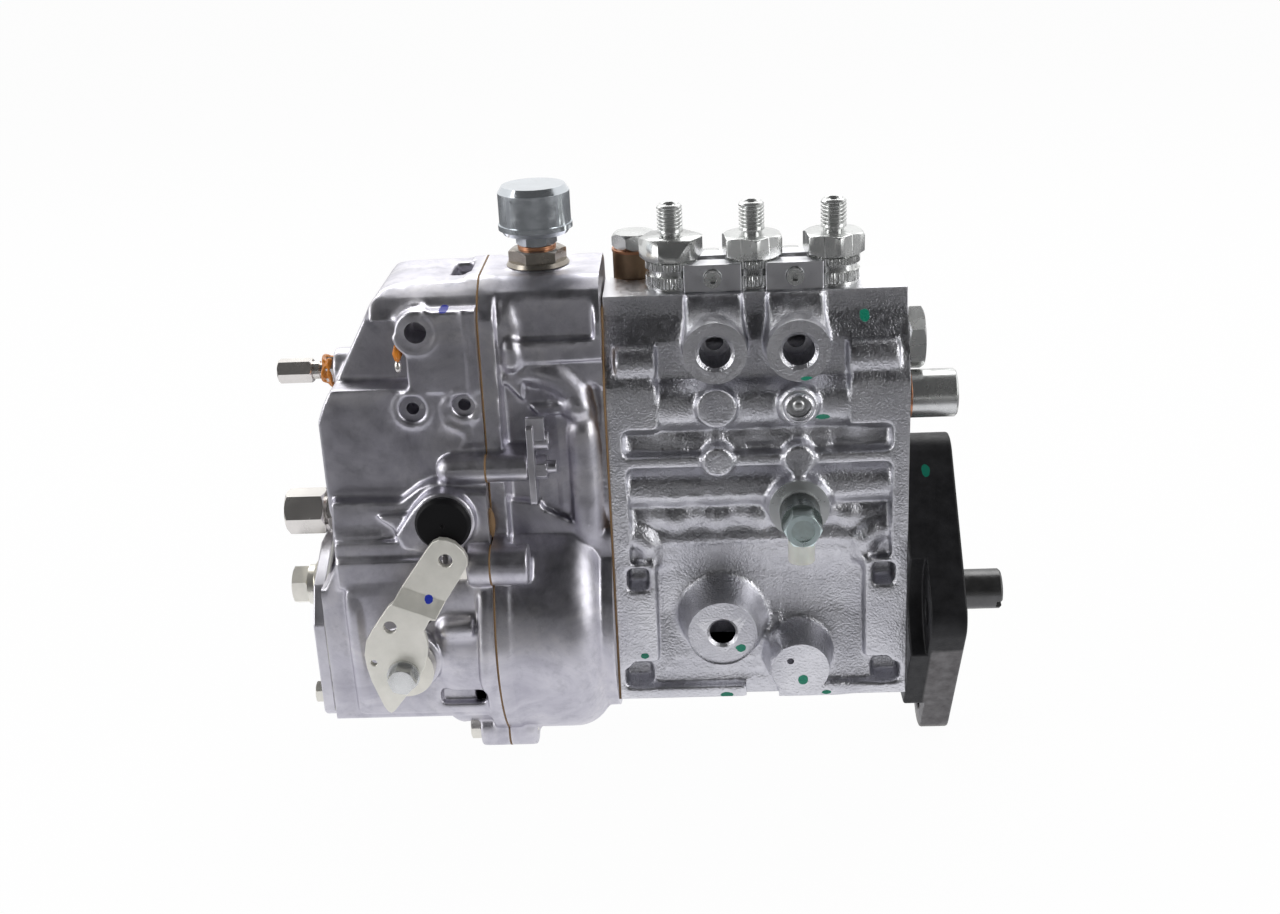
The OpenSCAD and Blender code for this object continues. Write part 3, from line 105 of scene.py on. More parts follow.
# Materials
class Look:
    """A procedural material on one Principled shader, driven by object coordinates.

    The plain colour, metallic and roughness lie under what the nodes link in.
    """

    def __init__(self, name, color, metallic, roughness, **sockets):
        self.mat = bpy.data.materials.new(name)
        self.mat.use_nodes = True
        self.tree = self.mat.node_tree
        self.shader = self.tree.nodes["Principled BSDF"].inputs
        self.feed(self.shader["Base Color"], color)
        self.feed(self.shader["Metallic"], metallic)
        self.feed(self.shader["Roughness"], roughness)
        for key, value in sockets.items():
            self.feed(self.shader[key.replace("_", " ")], value)
        self.coords = self.node("ShaderNodeTexCoord").outputs["Object"]
        self.metal = metallic
        self.normal = None

    def feed(self, socket, value):
        """Links another socket in, or sets a colour or a number."""
        if isinstance(value, bpy.types.NodeSocket):
            self.tree.links.new(value, socket)
        elif isinstance(value, tuple):
            socket.default_value = (*value, 1)
        else:
            socket.default_value = value

    def node(self, kind, inputs=None, **settings):
        made = self.tree.nodes.new(kind)
        for key, value in settings.items():
            setattr(made, key, value)
        for key, value in (inputs or {}).items():
            self.feed(made.inputs[key], value)
        return made

    def noise(self, scale, detail, rough=0.55, distortion=0.0):
        inputs = {
            "Vector": self.coords,
            "Scale": scale,
            "Detail": detail,
            "Roughness": rough,
            "Distortion": distortion,
        }
        return self.node("ShaderNodeTexNoise", inputs).outputs["Fac"]

    def ramp(self, fac, stops):
        made = self.node("ShaderNodeValToRGB", {"Fac": fac})
        elements = made.color_ramp.elements
        while len(elements) < len(stops):
            elements.new(0.5)
        for element, (position, color) in zip(elements, stops):
            element.position = position
            element.color = (*color, 1)
        return made.outputs["Color"]

    def span(self, fac, low, high, to_low, to_high):
        """fac from low to high, laid over to_low to to_high and held at both ends."""
        inputs = {"Value": fac, "From Min": low, "From Max": high, "To Min": to_low, "To Max": to_high}
        return self.node("ShaderNodeMapRange", inputs, clamp=True).outputs["Result"]

    def vary(self, low, high, scale, detail, rough=0.55):
        """Noise between two values."""
        return self.span(self.noise(scale, detail, rough), 0.3, 0.7, low, high)

    def calc(self, operation, a, b):
        return self.node("ShaderNodeMath", {0: a, 1: b}, operation=operation).outputs[0]

    def mix(self, fac, a, b):
        return self.node("ShaderNodeMix", {0: fac, 6: a, 7: b}, data_type="RGBA").outputs[2]

    def place(self, axis):
        """One object coordinate, in metres."""
        return self.node("ShaderNodeSeparateXYZ", {0: self.coords}).outputs[axis]

    def edges(self):
        return self.node("ShaderNodeNewGeometry").outputs["Pointiness"]

    def between(self, axis, low, high):
        """1 between two machined planes, fading to 0 just before them."""
        at = self.place(axis)
        after = self.span(at, (low + 0.05) * MM, (low + 0.15) * MM, 0, 1)
        before = self.span(at, (high - 0.15) * MM, (high - 0.05) * MM, 1, 0)
        return self.calc("MULTIPLY", after, before)

    def marks(self, base, blots, paint, front=-12):
        """Paint on base where Y is below front: blots of (x, z, radius x, radius z)."""
        warp = self.calc("MULTIPLY", self.calc("SUBTRACT", self.noise(420, 2), 0.5), 1.1)
        x, z = self.place("X"), self.place("Z")
        ahead = self.span(self.place("Y"), (front - 0.5) * MM, front * MM, 1, 0)
        for blot_x, blot_z, radius_x, radius_z in blots:
            dx = self.calc("DIVIDE", self.calc("SUBTRACT", x, blot_x * MM), radius_x * MM)
            dz = self.calc("DIVIDE", self.calc("SUBTRACT", z, blot_z * MM), radius_z * MM)
            square = self.calc("ADD", self.calc("POWER", dx, 2), self.calc("POWER", dz, 2))
            here = self.span(self.calc("ADD", square, warp), 0.85, 1.0, 1, 0)
            mask = self.calc("MULTIPLY", here, ahead)
            base = self.mix(mask, base, paint)
            self.metal = self.calc("SUBTRACT", self.metal, mask)
        self.feed(self.shader["Metallic"], self.metal)
        return base

    def color(self, value):
        self.feed(self.shader["Base Color"], value)

    def rough(self, value):
        self.feed(self.shader["Roughness"], value)

    def bump(self, height, strength, distance):
        """Relief on top of the relief before it, distance mm high."""
        made = self.node("ShaderNodeBump", {"Strength": strength, "Distance": distance * MM})
        self.feed(made.inputs["Height"], height)
        if self.normal is not None:
            self.feed(made.inputs["Normal"], self.normal)
        self.normal = made.outputs["Normal"]
        self.feed(self.shader["Normal"], self.normal)


GREEN_PAINT = (0.003, 0.23, 0.14)
DARK_GREEN_PAINT = (0.002, 0.14, 0.09)
BLUE_PAINT = (0.02, 0.03, 0.35)
BRIGHT_BLUE_PAINT = (0.01, 0.03, 0.4)
BODY_BLOTS = [
    (-37.8, 127.8, 2.0, 2.4),
    (-55.0, 90.2, 3.0, 1.3),
    (-61.9, 108.8, 2.4, 0.9),
    (-89.2, -3.3, 2.2, 1.8),
    (-64.2, -18.6, 2.1, 2.3),
    (-128.9, -12.1, 1.8, 1.5),
    (-95.3, -31.2, 3.0, 1.2),
    (-53.9, -30.6, 2.2, 1.0),
    (-62.0, 26.8, 1.3, 1.0),
]
COVER_BLOTS = [(-199.2, 140.6, 1.7, 0.7)]
LEVER_BLOTS = [(-211.1, 31.1, 1.7, 1.7)]
FLANGE_BLOTS = [(-11.7, 59.0, 1.7, 2.2)]


def sand_cast():
    """Bright blasted sand casting with an orange-peel skin, green blots and a painted highlight on its
    edges.
    """
    look = Look("cast_aluminium", (0.66, 0.66, 0.69), 1.0, 0.45)
    base = look.ramp(look.noise(38, 4), [(0.3, (0.56, 0.56, 0.60)), (0.7, (0.72, 0.72, 0.75))])
    specks = look.span(look.noise(900, 3, 0.6), 0.6, 0.72, 0.0, 0.35)
    base = look.mix(specks, base, (0.3, 0.3, 0.33))
    # Painted highlight: convex edges, found by pointiness, are lightened towards near white.
    painted_edge_highlight = look.mix(look.span(look.edges(), 0.5, 0.58, 0.0, 0.6), base, (0.92, 0.92, 0.94))
    look.color(look.marks(painted_edge_highlight, BODY_BLOTS, GREEN_PAINT))
    look.rough(look.span(look.noise(420, 3), 0.35, 0.65, 0.28, 0.4))
    upright = look.between("Z", BODY_BASE, BODY_DECK)
    skin = look.calc("MULTIPLY", upright, look.between("X", BODY_LEFT, BODY_RIGHT))
    look.bump(look.calc("MULTIPLY", look.noise(1100, 2, 0.5), skin), 1.0, 0.3)
    look.bump(look.calc("MULTIPLY", look.noise(3200, 2, 0.6), skin), 0.5, 0.1)
    look.bump(look.noise(60, 2), 0.3, 1.5)
    return look.mat


def die_cast():
    """Smooth die casting, purple-grey, with flow marks, stains and a painted highlight on its edges."""
    look = Look("diecast_aluminium", (0.6, 0.59, 0.64), 1.0, 0.4)
    flow = [(0.28, (0.42, 0.41, 0.47)), (0.5, (0.58, 0.57, 0.62)), (0.74, (0.75, 0.73, 0.75))]
    base = look.ramp(look.noise(24, 7, 0.68, distortion=1.4), flow)
    stains = look.span(look.noise(150, 7, 0.72), 0.5, 0.68, 0.0, 0.45)
    base = look.mix(stains, base, (0.34, 0.34, 0.38))
    # Painted highlight: convex edges, found by pointiness, are lightened towards pale grey.
    painted_edge_highlight = look.mix(look.span(look.edges(), 0.505, 0.57, 0.0, 0.5), base, (0.88, 0.87, 0.9))
    look.color(look.marks(painted_edge_highlight, COVER_BLOTS, BLUE_PAINT))
    look.rough(look.vary(0.3, 0.48, 80, 6, 0.65))
    look.bump(look.noise(1500, 3, 0.6), 0.16, 0.1)
    look.bump(look.noise(35, 2), 0.25, 1.2)
    return look.mat


def turned(name, color, rough=(0.18, 0.36), stain=0.85, scale=240):
    """Machined or plated metal with fine lines and light handling marks."""
    look = Look(name, color, 0.88, sum(rough) / 2)
    dark = tuple(c * stain for c in color)
    look.color(look.mix(look.span(look.noise(90, 5, 0.65), 0.35, 0.7, 0.0, 1.0), color, dark))
    look.rough(look.vary(*rough, scale, 4, 0.6))
    look.bump(look.noise(1800, 2, 0.5), 0.05, 0.05)
    return look.mat


def lever_zinc():
    """The lever's zinc plate with its dot of blue paint."""
    look = Look("lever_zinc", (0.90, 0.88, 0.80), 0.6, 0.35)
    tones = [(0.3, (0.80, 0.79, 0.72)), (0.7, (0.93, 0.91, 0.84))]
    plate = look.ramp(look.noise(70, 6, 0.7), tones)
    look.color(look.marks(plate, LEVER_BLOTS, BRIGHT_BLUE_PAINT, front=-50))
    look.rough(look.vary(0.3, 0.46, 300, 4, 0.6))
    look.bump(look.noise(900, 3, 0.5), 0.08, 0.08)
    return look.mat


def vent_zinc():
    """The vent screw: bright washer, dark hexagon and a blue-green passivated head."""
    look = Look("vent_zinc", (0.6, 0.64, 0.62), 0.9, 0.3)
    outward = look.calc("MULTIPLY", look.place("Y"), -1 / MM)
    ragged = look.calc("ADD", outward, look.vary(-0.4, 0.4, 300, 3))
    # The screw lies 30 to 60 mm in front of the shaft's axis.
    zones = [
        (0.0, (0.74, 0.76, 0.76)),
        (0.2, (0.74, 0.76, 0.76)),
        (0.24, (0.12, 0.13, 0.13)),
        (0.62, (0.30, 0.34, 0.33)),
        (0.84, (0.60, 0.70, 0.68)),
        (0.866, (0.74, 0.87, 0.87)),
    ]
    look.color(look.ramp(look.span(ragged, 30, 60, 0, 1), zones))
    look.rough(look.vary(0.24, 0.38, 90, 4, 0.6))
    look.bump(look.noise(1800, 2, 0.5), 0.05, 0.05)
    return look.mat


def black_iron():
    """Black-coated cast iron whose lower foot is bare and grey."""
    look = Look("black_iron", (0.016, 0.016, 0.018), 0.0, 0.42, Specular_IOR_Level=0.22)
    height = look.calc("ADD", look.place("Z"), look.vary(-2 * MM, 2 * MM, 70, 3))
    below = look.span(height, -5.5 * MM, -3.5 * MM, 1.0, 0.0)
    outer = look.span(look.place("X"), -13.5 * MM, -12.5 * MM, 0.0, 1.0)
    foot = look.calc("MULTIPLY", below, outer)
    coat = look.ramp(look.noise(160, 4), [(0.3, (0.008, 0.008, 0.009)), (0.75, (0.02, 0.02, 0.022))])
    bare = look.ramp(look.noise(220, 4), [(0.3, (0.09, 0.085, 0.085)), (0.75, (0.17, 0.165, 0.165))])
    look.metal = foot
    look.color(look.marks(look.mix(foot, coat, bare), FLANGE_BLOTS, DARK_GREEN_PAINT, front=0))
    look.rough(look.vary(0.34, 0.5, 300, 4))
    look.bump(look.noise(1100, 3), 0.35, 0.2)
    return look.mat


def plain(name, color, roughness, low=0.85, scale=150, **sockets):
    """Moulded, cut or painted matter with a little variation."""
    look = Look(name, color, 0.0, roughness, **sockets)
    dark = tuple(c * low for c in color)
    look.color(look.mix(look.vary(0.0, 1.0, scale, 4), color, dark))
    look.rough(look.vary(roughness * 0.85, roughness * 1.15, scale * 2, 3))
    look.bump(look.noise(scale * 9, 2), 0.15, 0.1)
    return look.mat


LOOKS = {
    "cast_aluminium": sand_cast(),
    "diecast_aluminium": die_cast(),
    "black_iron": black_iron(),
    "lever_zinc": lever_zinc(),
    "vent_zinc": vent_zinc(),
    "steel": turned("steel", (0.70, 0.71, 0.70), (0.2, 0.32), 0.85, 60),
    "hardened_steel": turned("hardened_steel", (0.13, 0.13, 0.13), (0.25, 0.42), 0.8),
    "spring_steel": turned("spring_steel", (0.35, 0.35, 0.37), (0.3, 0.45)),
    "zinc_steel": turned("zinc_steel", (0.88, 0.86, 0.78), (0.26, 0.4), 0.85, 60),
    "nickel": turned("nickel", (0.84, 0.81, 0.77), (0.18, 0.3), 0.9, 60),
    "chrome_cap": turned("chrome_cap", (0.70, 0.74, 0.78), (0.08, 0.2), 0.9),
    "olive_steel": turned("olive_steel", (0.42, 0.38, 0.33), (0.16, 0.3), 0.75),
    "bronze": turned("bronze", (0.40, 0.27, 0.17), (0.3, 0.5), 0.75),
    "copper": turned("copper", (0.62, 0.30, 0.17), (0.22, 0.4), 0.8),
    "rubber_black": plain("rubber_black", (0.008, 0.008, 0.009), 0.45, Specular_IOR_Level=0.15),
    "white_nylon": plain("white_nylon", (0.72, 0.71, 0.66), 0.45, Subsurface_Weight=0.1),
    "gasket_paper": plain("gasket_paper", (0.25, 0.15, 0.07), 0.7),
    "sealant_white": plain("sealant_white", (0.55, 0.55, 0.52), 0.5),
    "orange_lacquer": plain("orange_lacquer", (0.72, 0.24, 0.02), 0.25, 0.7, 200),
}


# Meshes and pieces
SEGMENTS = 96


def mesh_of(shape, name):
    """The mesh of a bmesh, which is freed."""
    mesh = bpy.data.meshes.new(name)
    shape.to_mesh(mesh)
    shape.free()
    return mesh


def solid_mesh(name, points, faces):
    """A closed mesh through points in mm, its faces turned outward."""
    shape = bmesh.new()
    corners = [shape.verts.new([c * MM for c in p]) for p in points]
    for face in faces:
        shape.faces.new([corners[i] for i in face])
    bmesh.ops.recalc_face_normals(shape, faces=shape.faces)
    return mesh_of(shape, name)


def round_mesh(axis, start, end, r0, r1, u, v):
    """A closed cone along an axis, with u and v as its other two places."""
    shape = bmesh.new()
    bmesh.ops.create_cone(
        shape,
        cap_ends=True,
        segments=SEGMENTS,
        radius1=r0 * MM,
        radius2=r1 * MM,
        depth=(end - start) * MM,
    )
    turn = {
        "x": Matrix.Rotation(math.pi / 2, 4, "Y"),
        "y": Matrix.Rotation(-math.pi / 2, 4, "X"),
        "z": Matrix.Identity(4),
    }
    middle = (start + end) / 2
    at = {"x": (middle, u, v), "y": (u, middle, v), "z": (u, v, middle)}
    shape.transform(Matrix.Translation(Vector(at[axis]) * MM) @ turn[axis])
    return mesh_of(shape, "round")


def box_mesh(low, high):
    shape = bmesh.new()
    bmesh.ops.create_cube(shape, size=1)
    size = Vector(high) - Vector(low)
    middle = (Vector(high) + Vector(low)) / 2
    shape.transform(Matrix.Translation(middle * MM) @ Matrix.Diagonal((*(size * MM), 1)))
    return mesh_of(shape, "box")


def cut(mesh, cutter):
    """The mesh without what lies inside the cutter."""
    whole = bpy.data.objects.new("whole", mesh)
    tool = bpy.data.objects.new("tool", cutter)
    for part in (whole, tool):
        bpy.context.scene.collection.objects.link(part)
    difference = whole.modifiers.new("difference", "BOOLEAN")
    difference.object = tool
    difference.operation = "DIFFERENCE"
    difference.solver = "MANIFOLD"
    graph = bpy.context.evaluated_depsgraph_get()
    graph.update()
    result = bpy.data.meshes.new_from_object(whole.evaluated_get(graph))
    bpy.data.objects.remove(whole)
    bpy.data.objects.remove(tool)
    return result


def smooth(mesh, angle):
    """Smooth shading with sharp edges past an angle in degrees."""
    mesh.polygons.foreach_set("use_smooth", [True] * len(mesh.polygons))
    mesh.set_sharp_from_angle(angle=math.radians(angle))
    return mesh


def new_piece(name, mesh, look, replaces=()):
    """A visual piece on the pump's fixed body."""
    piece = bpy.data.objects.new(name, mesh)
    bpy.context.scene.collection.objects.link(piece)
    mesh.materials.clear()
    mesh.materials.append(LOOKS[look])
    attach(piece, PUMP)
    if replaces:
        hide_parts(*replaces)
    return piece


def keep_flats(piece):
    """Shades a cut piece's flats flat beside its rounds."""
    piece.modifiers.new("normals", "WEIGHTED_NORMAL").keep_sharp = True


# Castings from distance fields
# Grid step, the distance kept on each side of a surface, and the room left round a node
VOXEL = 0.62
BAND = 4.2
MARGIN = 6.0
# How far past its own box a shape's fillet works
REACH = 8.0
# How far inside a machined plane lies the section that is carried past it
SECTION_DEPTH = 1.3
# How freely flat stretches of the mesh are made of larger faces
ADAPTIVITY = 0.02
# How many sigmas the blur takes in on each side
BLUR_REACH = 2.6
# Steps of a draped line in mm and of a draped ring
DRAPE_STEP = 2.5
RING_STEPS = 24
# How far a cutter stands out of the face it opens, and the reach of a plane's cutter
PAST = 1
FAR = 400.0
# Edges of a casting sharper than this stay crisp, in degrees
SHARP_ANGLE = 42


class Field:
    """Signed distance in mm to a CAD node on a grid, negative in the metal."""

    def __init__(self, node):
        low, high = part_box(node)
        self.first = [int(math.floor((c / MM - MARGIN) / VOXEL)) for c in low]
        last = [int(math.ceil((c / MM + MARGIN) / VOXEL)) for c in high]
        mesh = NODES[node].data
        mesh.calc_loop_triangles()
        points = np.empty(len(mesh.vertices) * 3, np.float32)
        mesh.vertices.foreach_get("co", points)
        triangles = np.empty(len(mesh.loop_triangles) * 3, np.int32)
        mesh.loop_triangles.foreach_get("vertices", triangles)
        grid = openvdb.FloatGrid.createLevelSetFromPolygons(
            points.reshape(-1, 3).astype(float) / MM,
            triangles=triangles.reshape(-1, 3).astype(np.uint32),
            transform=openvdb.createLinearTransform(voxelSize=VOXEL),
            halfWidth=BAND / VOXEL,
        )
        self.values = np.empty([b - a + 1 for a, b in zip(self.first, last)], np.float32)
        grid.copyToArray(self.values, ijk=tuple(self.first))

    def index(self, k, value):
        """The cell at a place along axis k."""
        return int(np.clip(round(value / VOXEL) - self.first[k], 0, self.values.shape[k] - 1))

    def slab(self, k, cells):
        """The whole grid's index with axis k limited to some cells."""
        return tuple(cells if i == k else slice(None) for i in range(3))

    def window(self, low, high):
        """The cells round a box, as slices and as coordinates that broadcast."""
        slices, places = [], []
        for k in range(3):
            start = self.index(k, low[k] - REACH)
            stop = self.index(k, high[k] + REACH) + 1
            slices.append(slice(start, stop))
            along = (np.arange(start, stop) + self.first[k]) * VOXEL
            places.append(along.reshape([-1 if i == k else 1 for i in range(3)]).astype(np.float32))
        return tuple(slices), places

    def add(self, low, high, shape, blend=0.0, carve=False):
        """Joins or carves shape(x, y, z) -> distance, with a fillet of about blend."""
        where, places = self.window(low, high)
        old = self.values[where]
        new = np.broadcast_to(shape(*places).astype(np.float32), old.shape)
        new = np.clip(new, -BAND, BAND)
        if carve:
            old = -old
        out = np.minimum(old, new)
        if blend:
            near = np.maximum(blend - np.abs(old - new), 0) / blend
            out = out - near * near * blend / 4
        self.values[where] = -out if carve else out

    def rod(self, row, blend=0.0, grow=0.0):
        """A cylinder: (axis, start, end, radius, u, v), where u and v are its other two places."""
        axis, start, end, radius, u, v = row
        k = "xyz".index(axis)
        i, j = [other for other in range(3) if other != k]
        radius = radius + grow
        low, high = [0.0] * 3, [0.0] * 3
        low[k], high[k] = start, end
        low[i], high[i] = u - radius, u + radius
        low[j], high[j] = v - radius, v + radius

        def shape(*p):
            side = np.hypot(p[i] - u, p[j] - v) - radius
            cap = np.abs(p[k] - (start + end) / 2) - (end - start) / 2
            inside = np.minimum(np.maximum(side, cap), 0)
            return inside + np.hypot(np.maximum(side, 0), np.maximum(cap, 0))

        self.add(low, high, shape, blend)

    def box(self, low, high, blend=0.0, carve=False, corner=0.0):
        """A box with rounded corners."""
        middle = [(a + b) / 2 for a, b in zip(low, high)]
        half = [(b - a) / 2 - corner for a, b in zip(low, high)]

        def shape(*p):
            q = [np.abs(c - m) - h for c, m, h in zip(p, middle, half)]
            outside = np.sqrt(sum(np.maximum(c, 0) ** 2 for c in q))
            return outside + np.minimum(np.maximum(np.maximum(q[0], q[1]), q[2]), 0) - corner

        self.add(low, high, shape, blend, carve)

    def tube(self, points, radius, blend):
        """A round ridge through points."""
        for a, b in zip(points, points[1:]):
            low = [min(p, q) - radius for p, q in zip(a, b)]
            high = [max(p, q) + radius for p, q in zip(a, b)]
            along = [q - p for p, q in zip(a, b)]
            square = sum(c * c for c in along)

            def shape(*p, a=a, along=along, square=square):
                t = sum((c - o) * d for c, o, d in zip(p, a, along)) / square
                t = np.clip(t, 0, 1)
                return np.sqrt(sum((c - o - t * d) ** 2 for c, o, d in zip(p, a, along))) - radius

            self.add(low, high, shape, blend)

    def cone(self, y0, y1, r0, r1, at_x, at_z, blend):
        """A cone along Y from radius r0 at y0 to r1 at y1."""
        slope = (r1 - r0) / (y1 - y0)
        wide = max(r0, r1)

        def shape(x, y, z):
            side = (np.hypot(x - at_x, z - at_z) - r0 - slope * (y - y0)) / math.hypot(1, slope)
            return np.maximum(side, np.abs(y - (y0 + y1) / 2) - (y1 - y0) / 2)

        low = (at_x - wide, y0, at_z - wide)
        self.add(low, (at_x + wide, y1, at_z + wide), shape, blend)

    def front(self, x, z):
        """Y of the first surface met from the front."""
        column = self.values[self.index(0, x), :, self.index(2, z)]
        j = int(np.nonzero(column < 0)[0][0])
        return (j + self.first[1]) * VOXEL + float(column[j])

    def drape(self, points, radius, high, blend):
        """A ridge of a round bar, laid through (x, z) points and standing high on the front."""
        fine = []
        for (x0, z0), (x1, z1) in zip(points, points[1:]):
            n = max(1, int(math.hypot(x1 - x0, z1 - z0) / DRAPE_STEP))
            fine += [(x0 + (x1 - x0) * i / n, z0 + (z1 - z0) * i / n) for i in range(n)]
        fine.append(points[-1])
        laid = [(x, self.front(x, z) + (radius - high), z) for x, z in fine]
        self.tube(laid, radius, blend)

    def drape_ring(self, centre, ring, radius, high, blend):
        """A draped ridge round a hole."""
        turns = [2 * math.pi * i / RING_STEPS for i in range(RING_STEPS + 1)]
        x, z = centre
        points = [(x + ring * math.cos(a), z + ring * math.sin(a)) for a in turns]
        self.drape(points, radius, high, blend)

    def extend(self, k, value, side):
        """Carries the section past a machined plane, so that the blur leaves no round edge there."""
        at = self.index(k, value - side * SECTION_DEPTH)
        source = self.values[self.slab(k, slice(at, at + 1))].copy()
        beyond = slice(at, None) if side > 0 else slice(None, at + 1)
        self.values[self.slab(k, beyond)] = source

    def blur(self, sigma):
        """A Gaussian blur, which rounds every edge."""
        radius = int(round(BLUR_REACH * sigma / VOXEL))
        offsets = np.arange(-radius, radius + 1) * VOXEL
        weights = np.exp(-0.5 * (offsets / sigma) ** 2)
        weights /= weights.sum()
        for k in range(3):
            pad = [(radius, radius) if i == k else (0, 0) for i in range(3)]
            wide = np.pad(self.values, pad, mode="edge")
            out = np.zeros_like(self.values)
            for i, weight in enumerate(weights):
                out += np.float32(weight) * wide[self.slab(k, slice(i, i + self.values.shape[k]))]
            self.values = out

    def mesh(self, name):
        for k in range(3):
            for end in (0, -1):
                self.values[self.slab(k, end)] = BAND
        grid = openvdb.FloatGrid(BAND)
        grid.copyFromArray(self.values, ijk=tuple(self.first))
        grid.transform = openvdb.createLinearTransform(voxelSize=VOXEL)
        points, triangles, quads = grid.convertToPolygons(isovalue=0.0, adaptivity=ADAPTIVITY)
        faces = [tuple(int(i) for i in face) for face in (*triangles, *quads)]
        mesh = bpy.data.meshes.new(name)
        mesh.from_pydata((points * MM).tolist(), [], faces)
        return mesh


def half_space(k, value, side):
    """A box of all that lies beyond a plane."""
    low, high = [-FAR] * 3, [FAR] * 3
    (low if side > 0 else high)[k] = value
    return box_mesh(low, high)


def cutter_mesh(row):
    """The mesh of a box (low, high), a rod of six values or a cone of seven."""
    if len(row) == 2:
        return box_mesh(*row)
    if len(row) == 6:
        axis, start, end, radius, u, v = row
        return round_mesh(axis, start, end, radius, radius, u, v)
    return round_mesh(*row)


def casting(node, look, sigma, planes, bores, bosses=(), cuts=(), forms=None):
    """Replaces a CAD casting by one with fillets, whose machined planes and bores stay crisp.

    The bores are filled before the blur and cut again after it. A plane is (axis, place, side).
    """
    field = Field(node)
    for row in bores:
        if len(row) == 2:
            field.box(*row)
        else:
            field.rod(row, grow=1.0)
    for row, blend in bosses:
        field.rod(row, blend)
    if forms:
        forms(field)
    for plane_row in planes:
        field.extend(*plane_row)
    field.blur(sigma)
    mesh = field.mesh(node + "_cast")
    cutters = [half_space(*row) for row in planes] + [cutter_mesh(row) for row in (*bores, *cuts)]
    for cutter in cutters:
        mesh = cut(mesh, cutter)
    keep_flats(new_piece(node + "_cast", smooth(mesh, SHARP_ANGLE), look, replaces=(node,)))


# The pump body
PORT_R = 6.19
OIL_INLET_R = 5.25
BALL_PLUG_R = 5.05
BEARING_DEPTH = 15
HOUSING_BORES = [
    # Bearing seats and the cam chamber between them
    ("x", BODY_LEFT - PAST, BODY_LEFT + BEARING_DEPTH, 20.02, 0, 0),
    ("x", BODY_RIGHT - BEARING_DEPTH, BODY_RIGHT + PAST, 20.02, 0, 0),
    ((BODY_LEFT + 14.9, -18.8, -21), (BODY_RIGHT - 14.9, 18.8, 21.5)),
    # Tappet, spring chamber, barrel and holder of each cylinder
    *[("z", 18, 88, 12.58, x, 0) for x in CYL_X],
    *[("z", 87, 104, 12.3, x, 0) for x in CYL_X],
    *[("z", 103, 131, 10.02, x, 0) for x in CYL_X],
    *[("z", 130, BODY_DECK + PAST, 9.85, x, 0) for x in CYL_X],
    # Fuel gallery and rack
    ("x", BODY_LEFT + 14, BODY_RIGHT + PAST, 5, *GALLERY),
    ("x", BODY_LEFT - PAST, BODY_RIGHT + PAST, 6.25, *RACK),
    # Fuel ports and their inner drillings
    *[("y", -34.5, -18, PORT_R, x, PORT_Z) for x in PORT_X],
    *[("y", -19, -12, 3.5, x, PORT_Z) for x in PORT_X],
    # Ball plug, vent screw, oil inlet with its drilling, closing plug, return port
    ("y", -33, -20, BALL_PLUG_R, *BALL_PLUG),
    ("y", -33.5, -18, 4.05, *VENT),
    ("y", -41.5, -21, OIL_INLET_R, *OIL_INLET),
    ("y", -22, -18, 2, *OIL_INLET),
    ("z", BODY_BASE - PAST, -20, 12.02, MID_X, 0),
    ("z", 114, 135, 5.05, *RETURN_PORT),
]
HOUSING_CUTS = [
    # Dimple of the blind boss, seat of the return fitting, notch in the foot
    ("y", -42, -37, 1.4, BLIND_BOSS[0] - 4.2, -10),
    ("z", 134, BODY_DECK + PAST, 10.6, *RETURN_PORT),
    ((MID_X - 6.5, -31, BODY_BASE - PAST), (MID_X + 7, -26.8, BODY_BASE + 7)),
    # Spot faces of the bosses
    *[("y", -44, -34, 14.5, x, PORT_Z) for x in PORT_X],
    ("y", -50, -41, 14, *OIL_INLET),
    ("y", -50, -41, 12, *BLIND_BOSS),
    ("y", -40, -33, 11, *VENT),
    # Chamfers of the bores
    *[("y", -36, -32.6, 9.4, PORT_R, x, PORT_Z) for x in PORT_X],
    ("y", -43, -39.8, 8.3, OIL_INLET_R, *OIL_INLET),
    ("y", -31.5, -28.6, 7.8, BALL_PLUG_R, *BALL_PLUG),
]
HOUSING_BOSSES = [
    *[(("y", -37, -12, 11.4, x, PORT_Z), 4.0) for x in PORT_X],
    (("y", -44, -18, 11.8, *OIL_INLET), 7.0),
    (("y", -44, -18, 9.7, *BLIND_BOSS), 7.0),
    (("y", -36, -12, 10, *VENT), 3.0),
    *[(("y", -29.6, -12, 7.6, x, BALL_PLUG[1]), 2.5) for x in PORT_X],
    *[(("y", -29.8, -12, 5.7, x, 73.5), 2.5) for x in PORT_X],
]
# Lines along the body's front, as (x, z)
SLOT_WAVE = [(-133, 78), (-118, 80), (-106, 79), (-97, 81.5), (-87, 79.5), (-80, 81)]
SLOT_WAVE += [(-72, 79.5), (-64, 82), (-55, 80), (-42, 80.5), (-30, 78)]
CHAMBER_FOOT = [(-131, 46.5), (-122, 48), (-114, 46), (-106, 48.5), (-97, 46.5), (-88, 48.5)]
CHAMBER_FOOT += [(-80, 46.5), (-70, 49), (-62, 46.5), (-52, 48.5), (-44, 46), (-32, 47)]
# An ear at a panel corner, as (distance from the panel's edge, y, z)
EAR = [(0.5, -23, 29), (1.2, -22.8, 35), (4.2, -22.6, 39.5), (9, -22.4, 41)]
PANEL_EDGES = ((-1, -124.5), (1, -39.3))
# Notches at the panel's corners, as (left, right, bottom, top)
NOTCHES = (
    (-134.3, -126.2, 17.5, 26.5),
    (-136.8, -126.2, -26.5, -18.5),
    (-34.4, -26.2, 17.5, 26.5),
    (-34.4, -23.8, -26.5, -18.5),
)


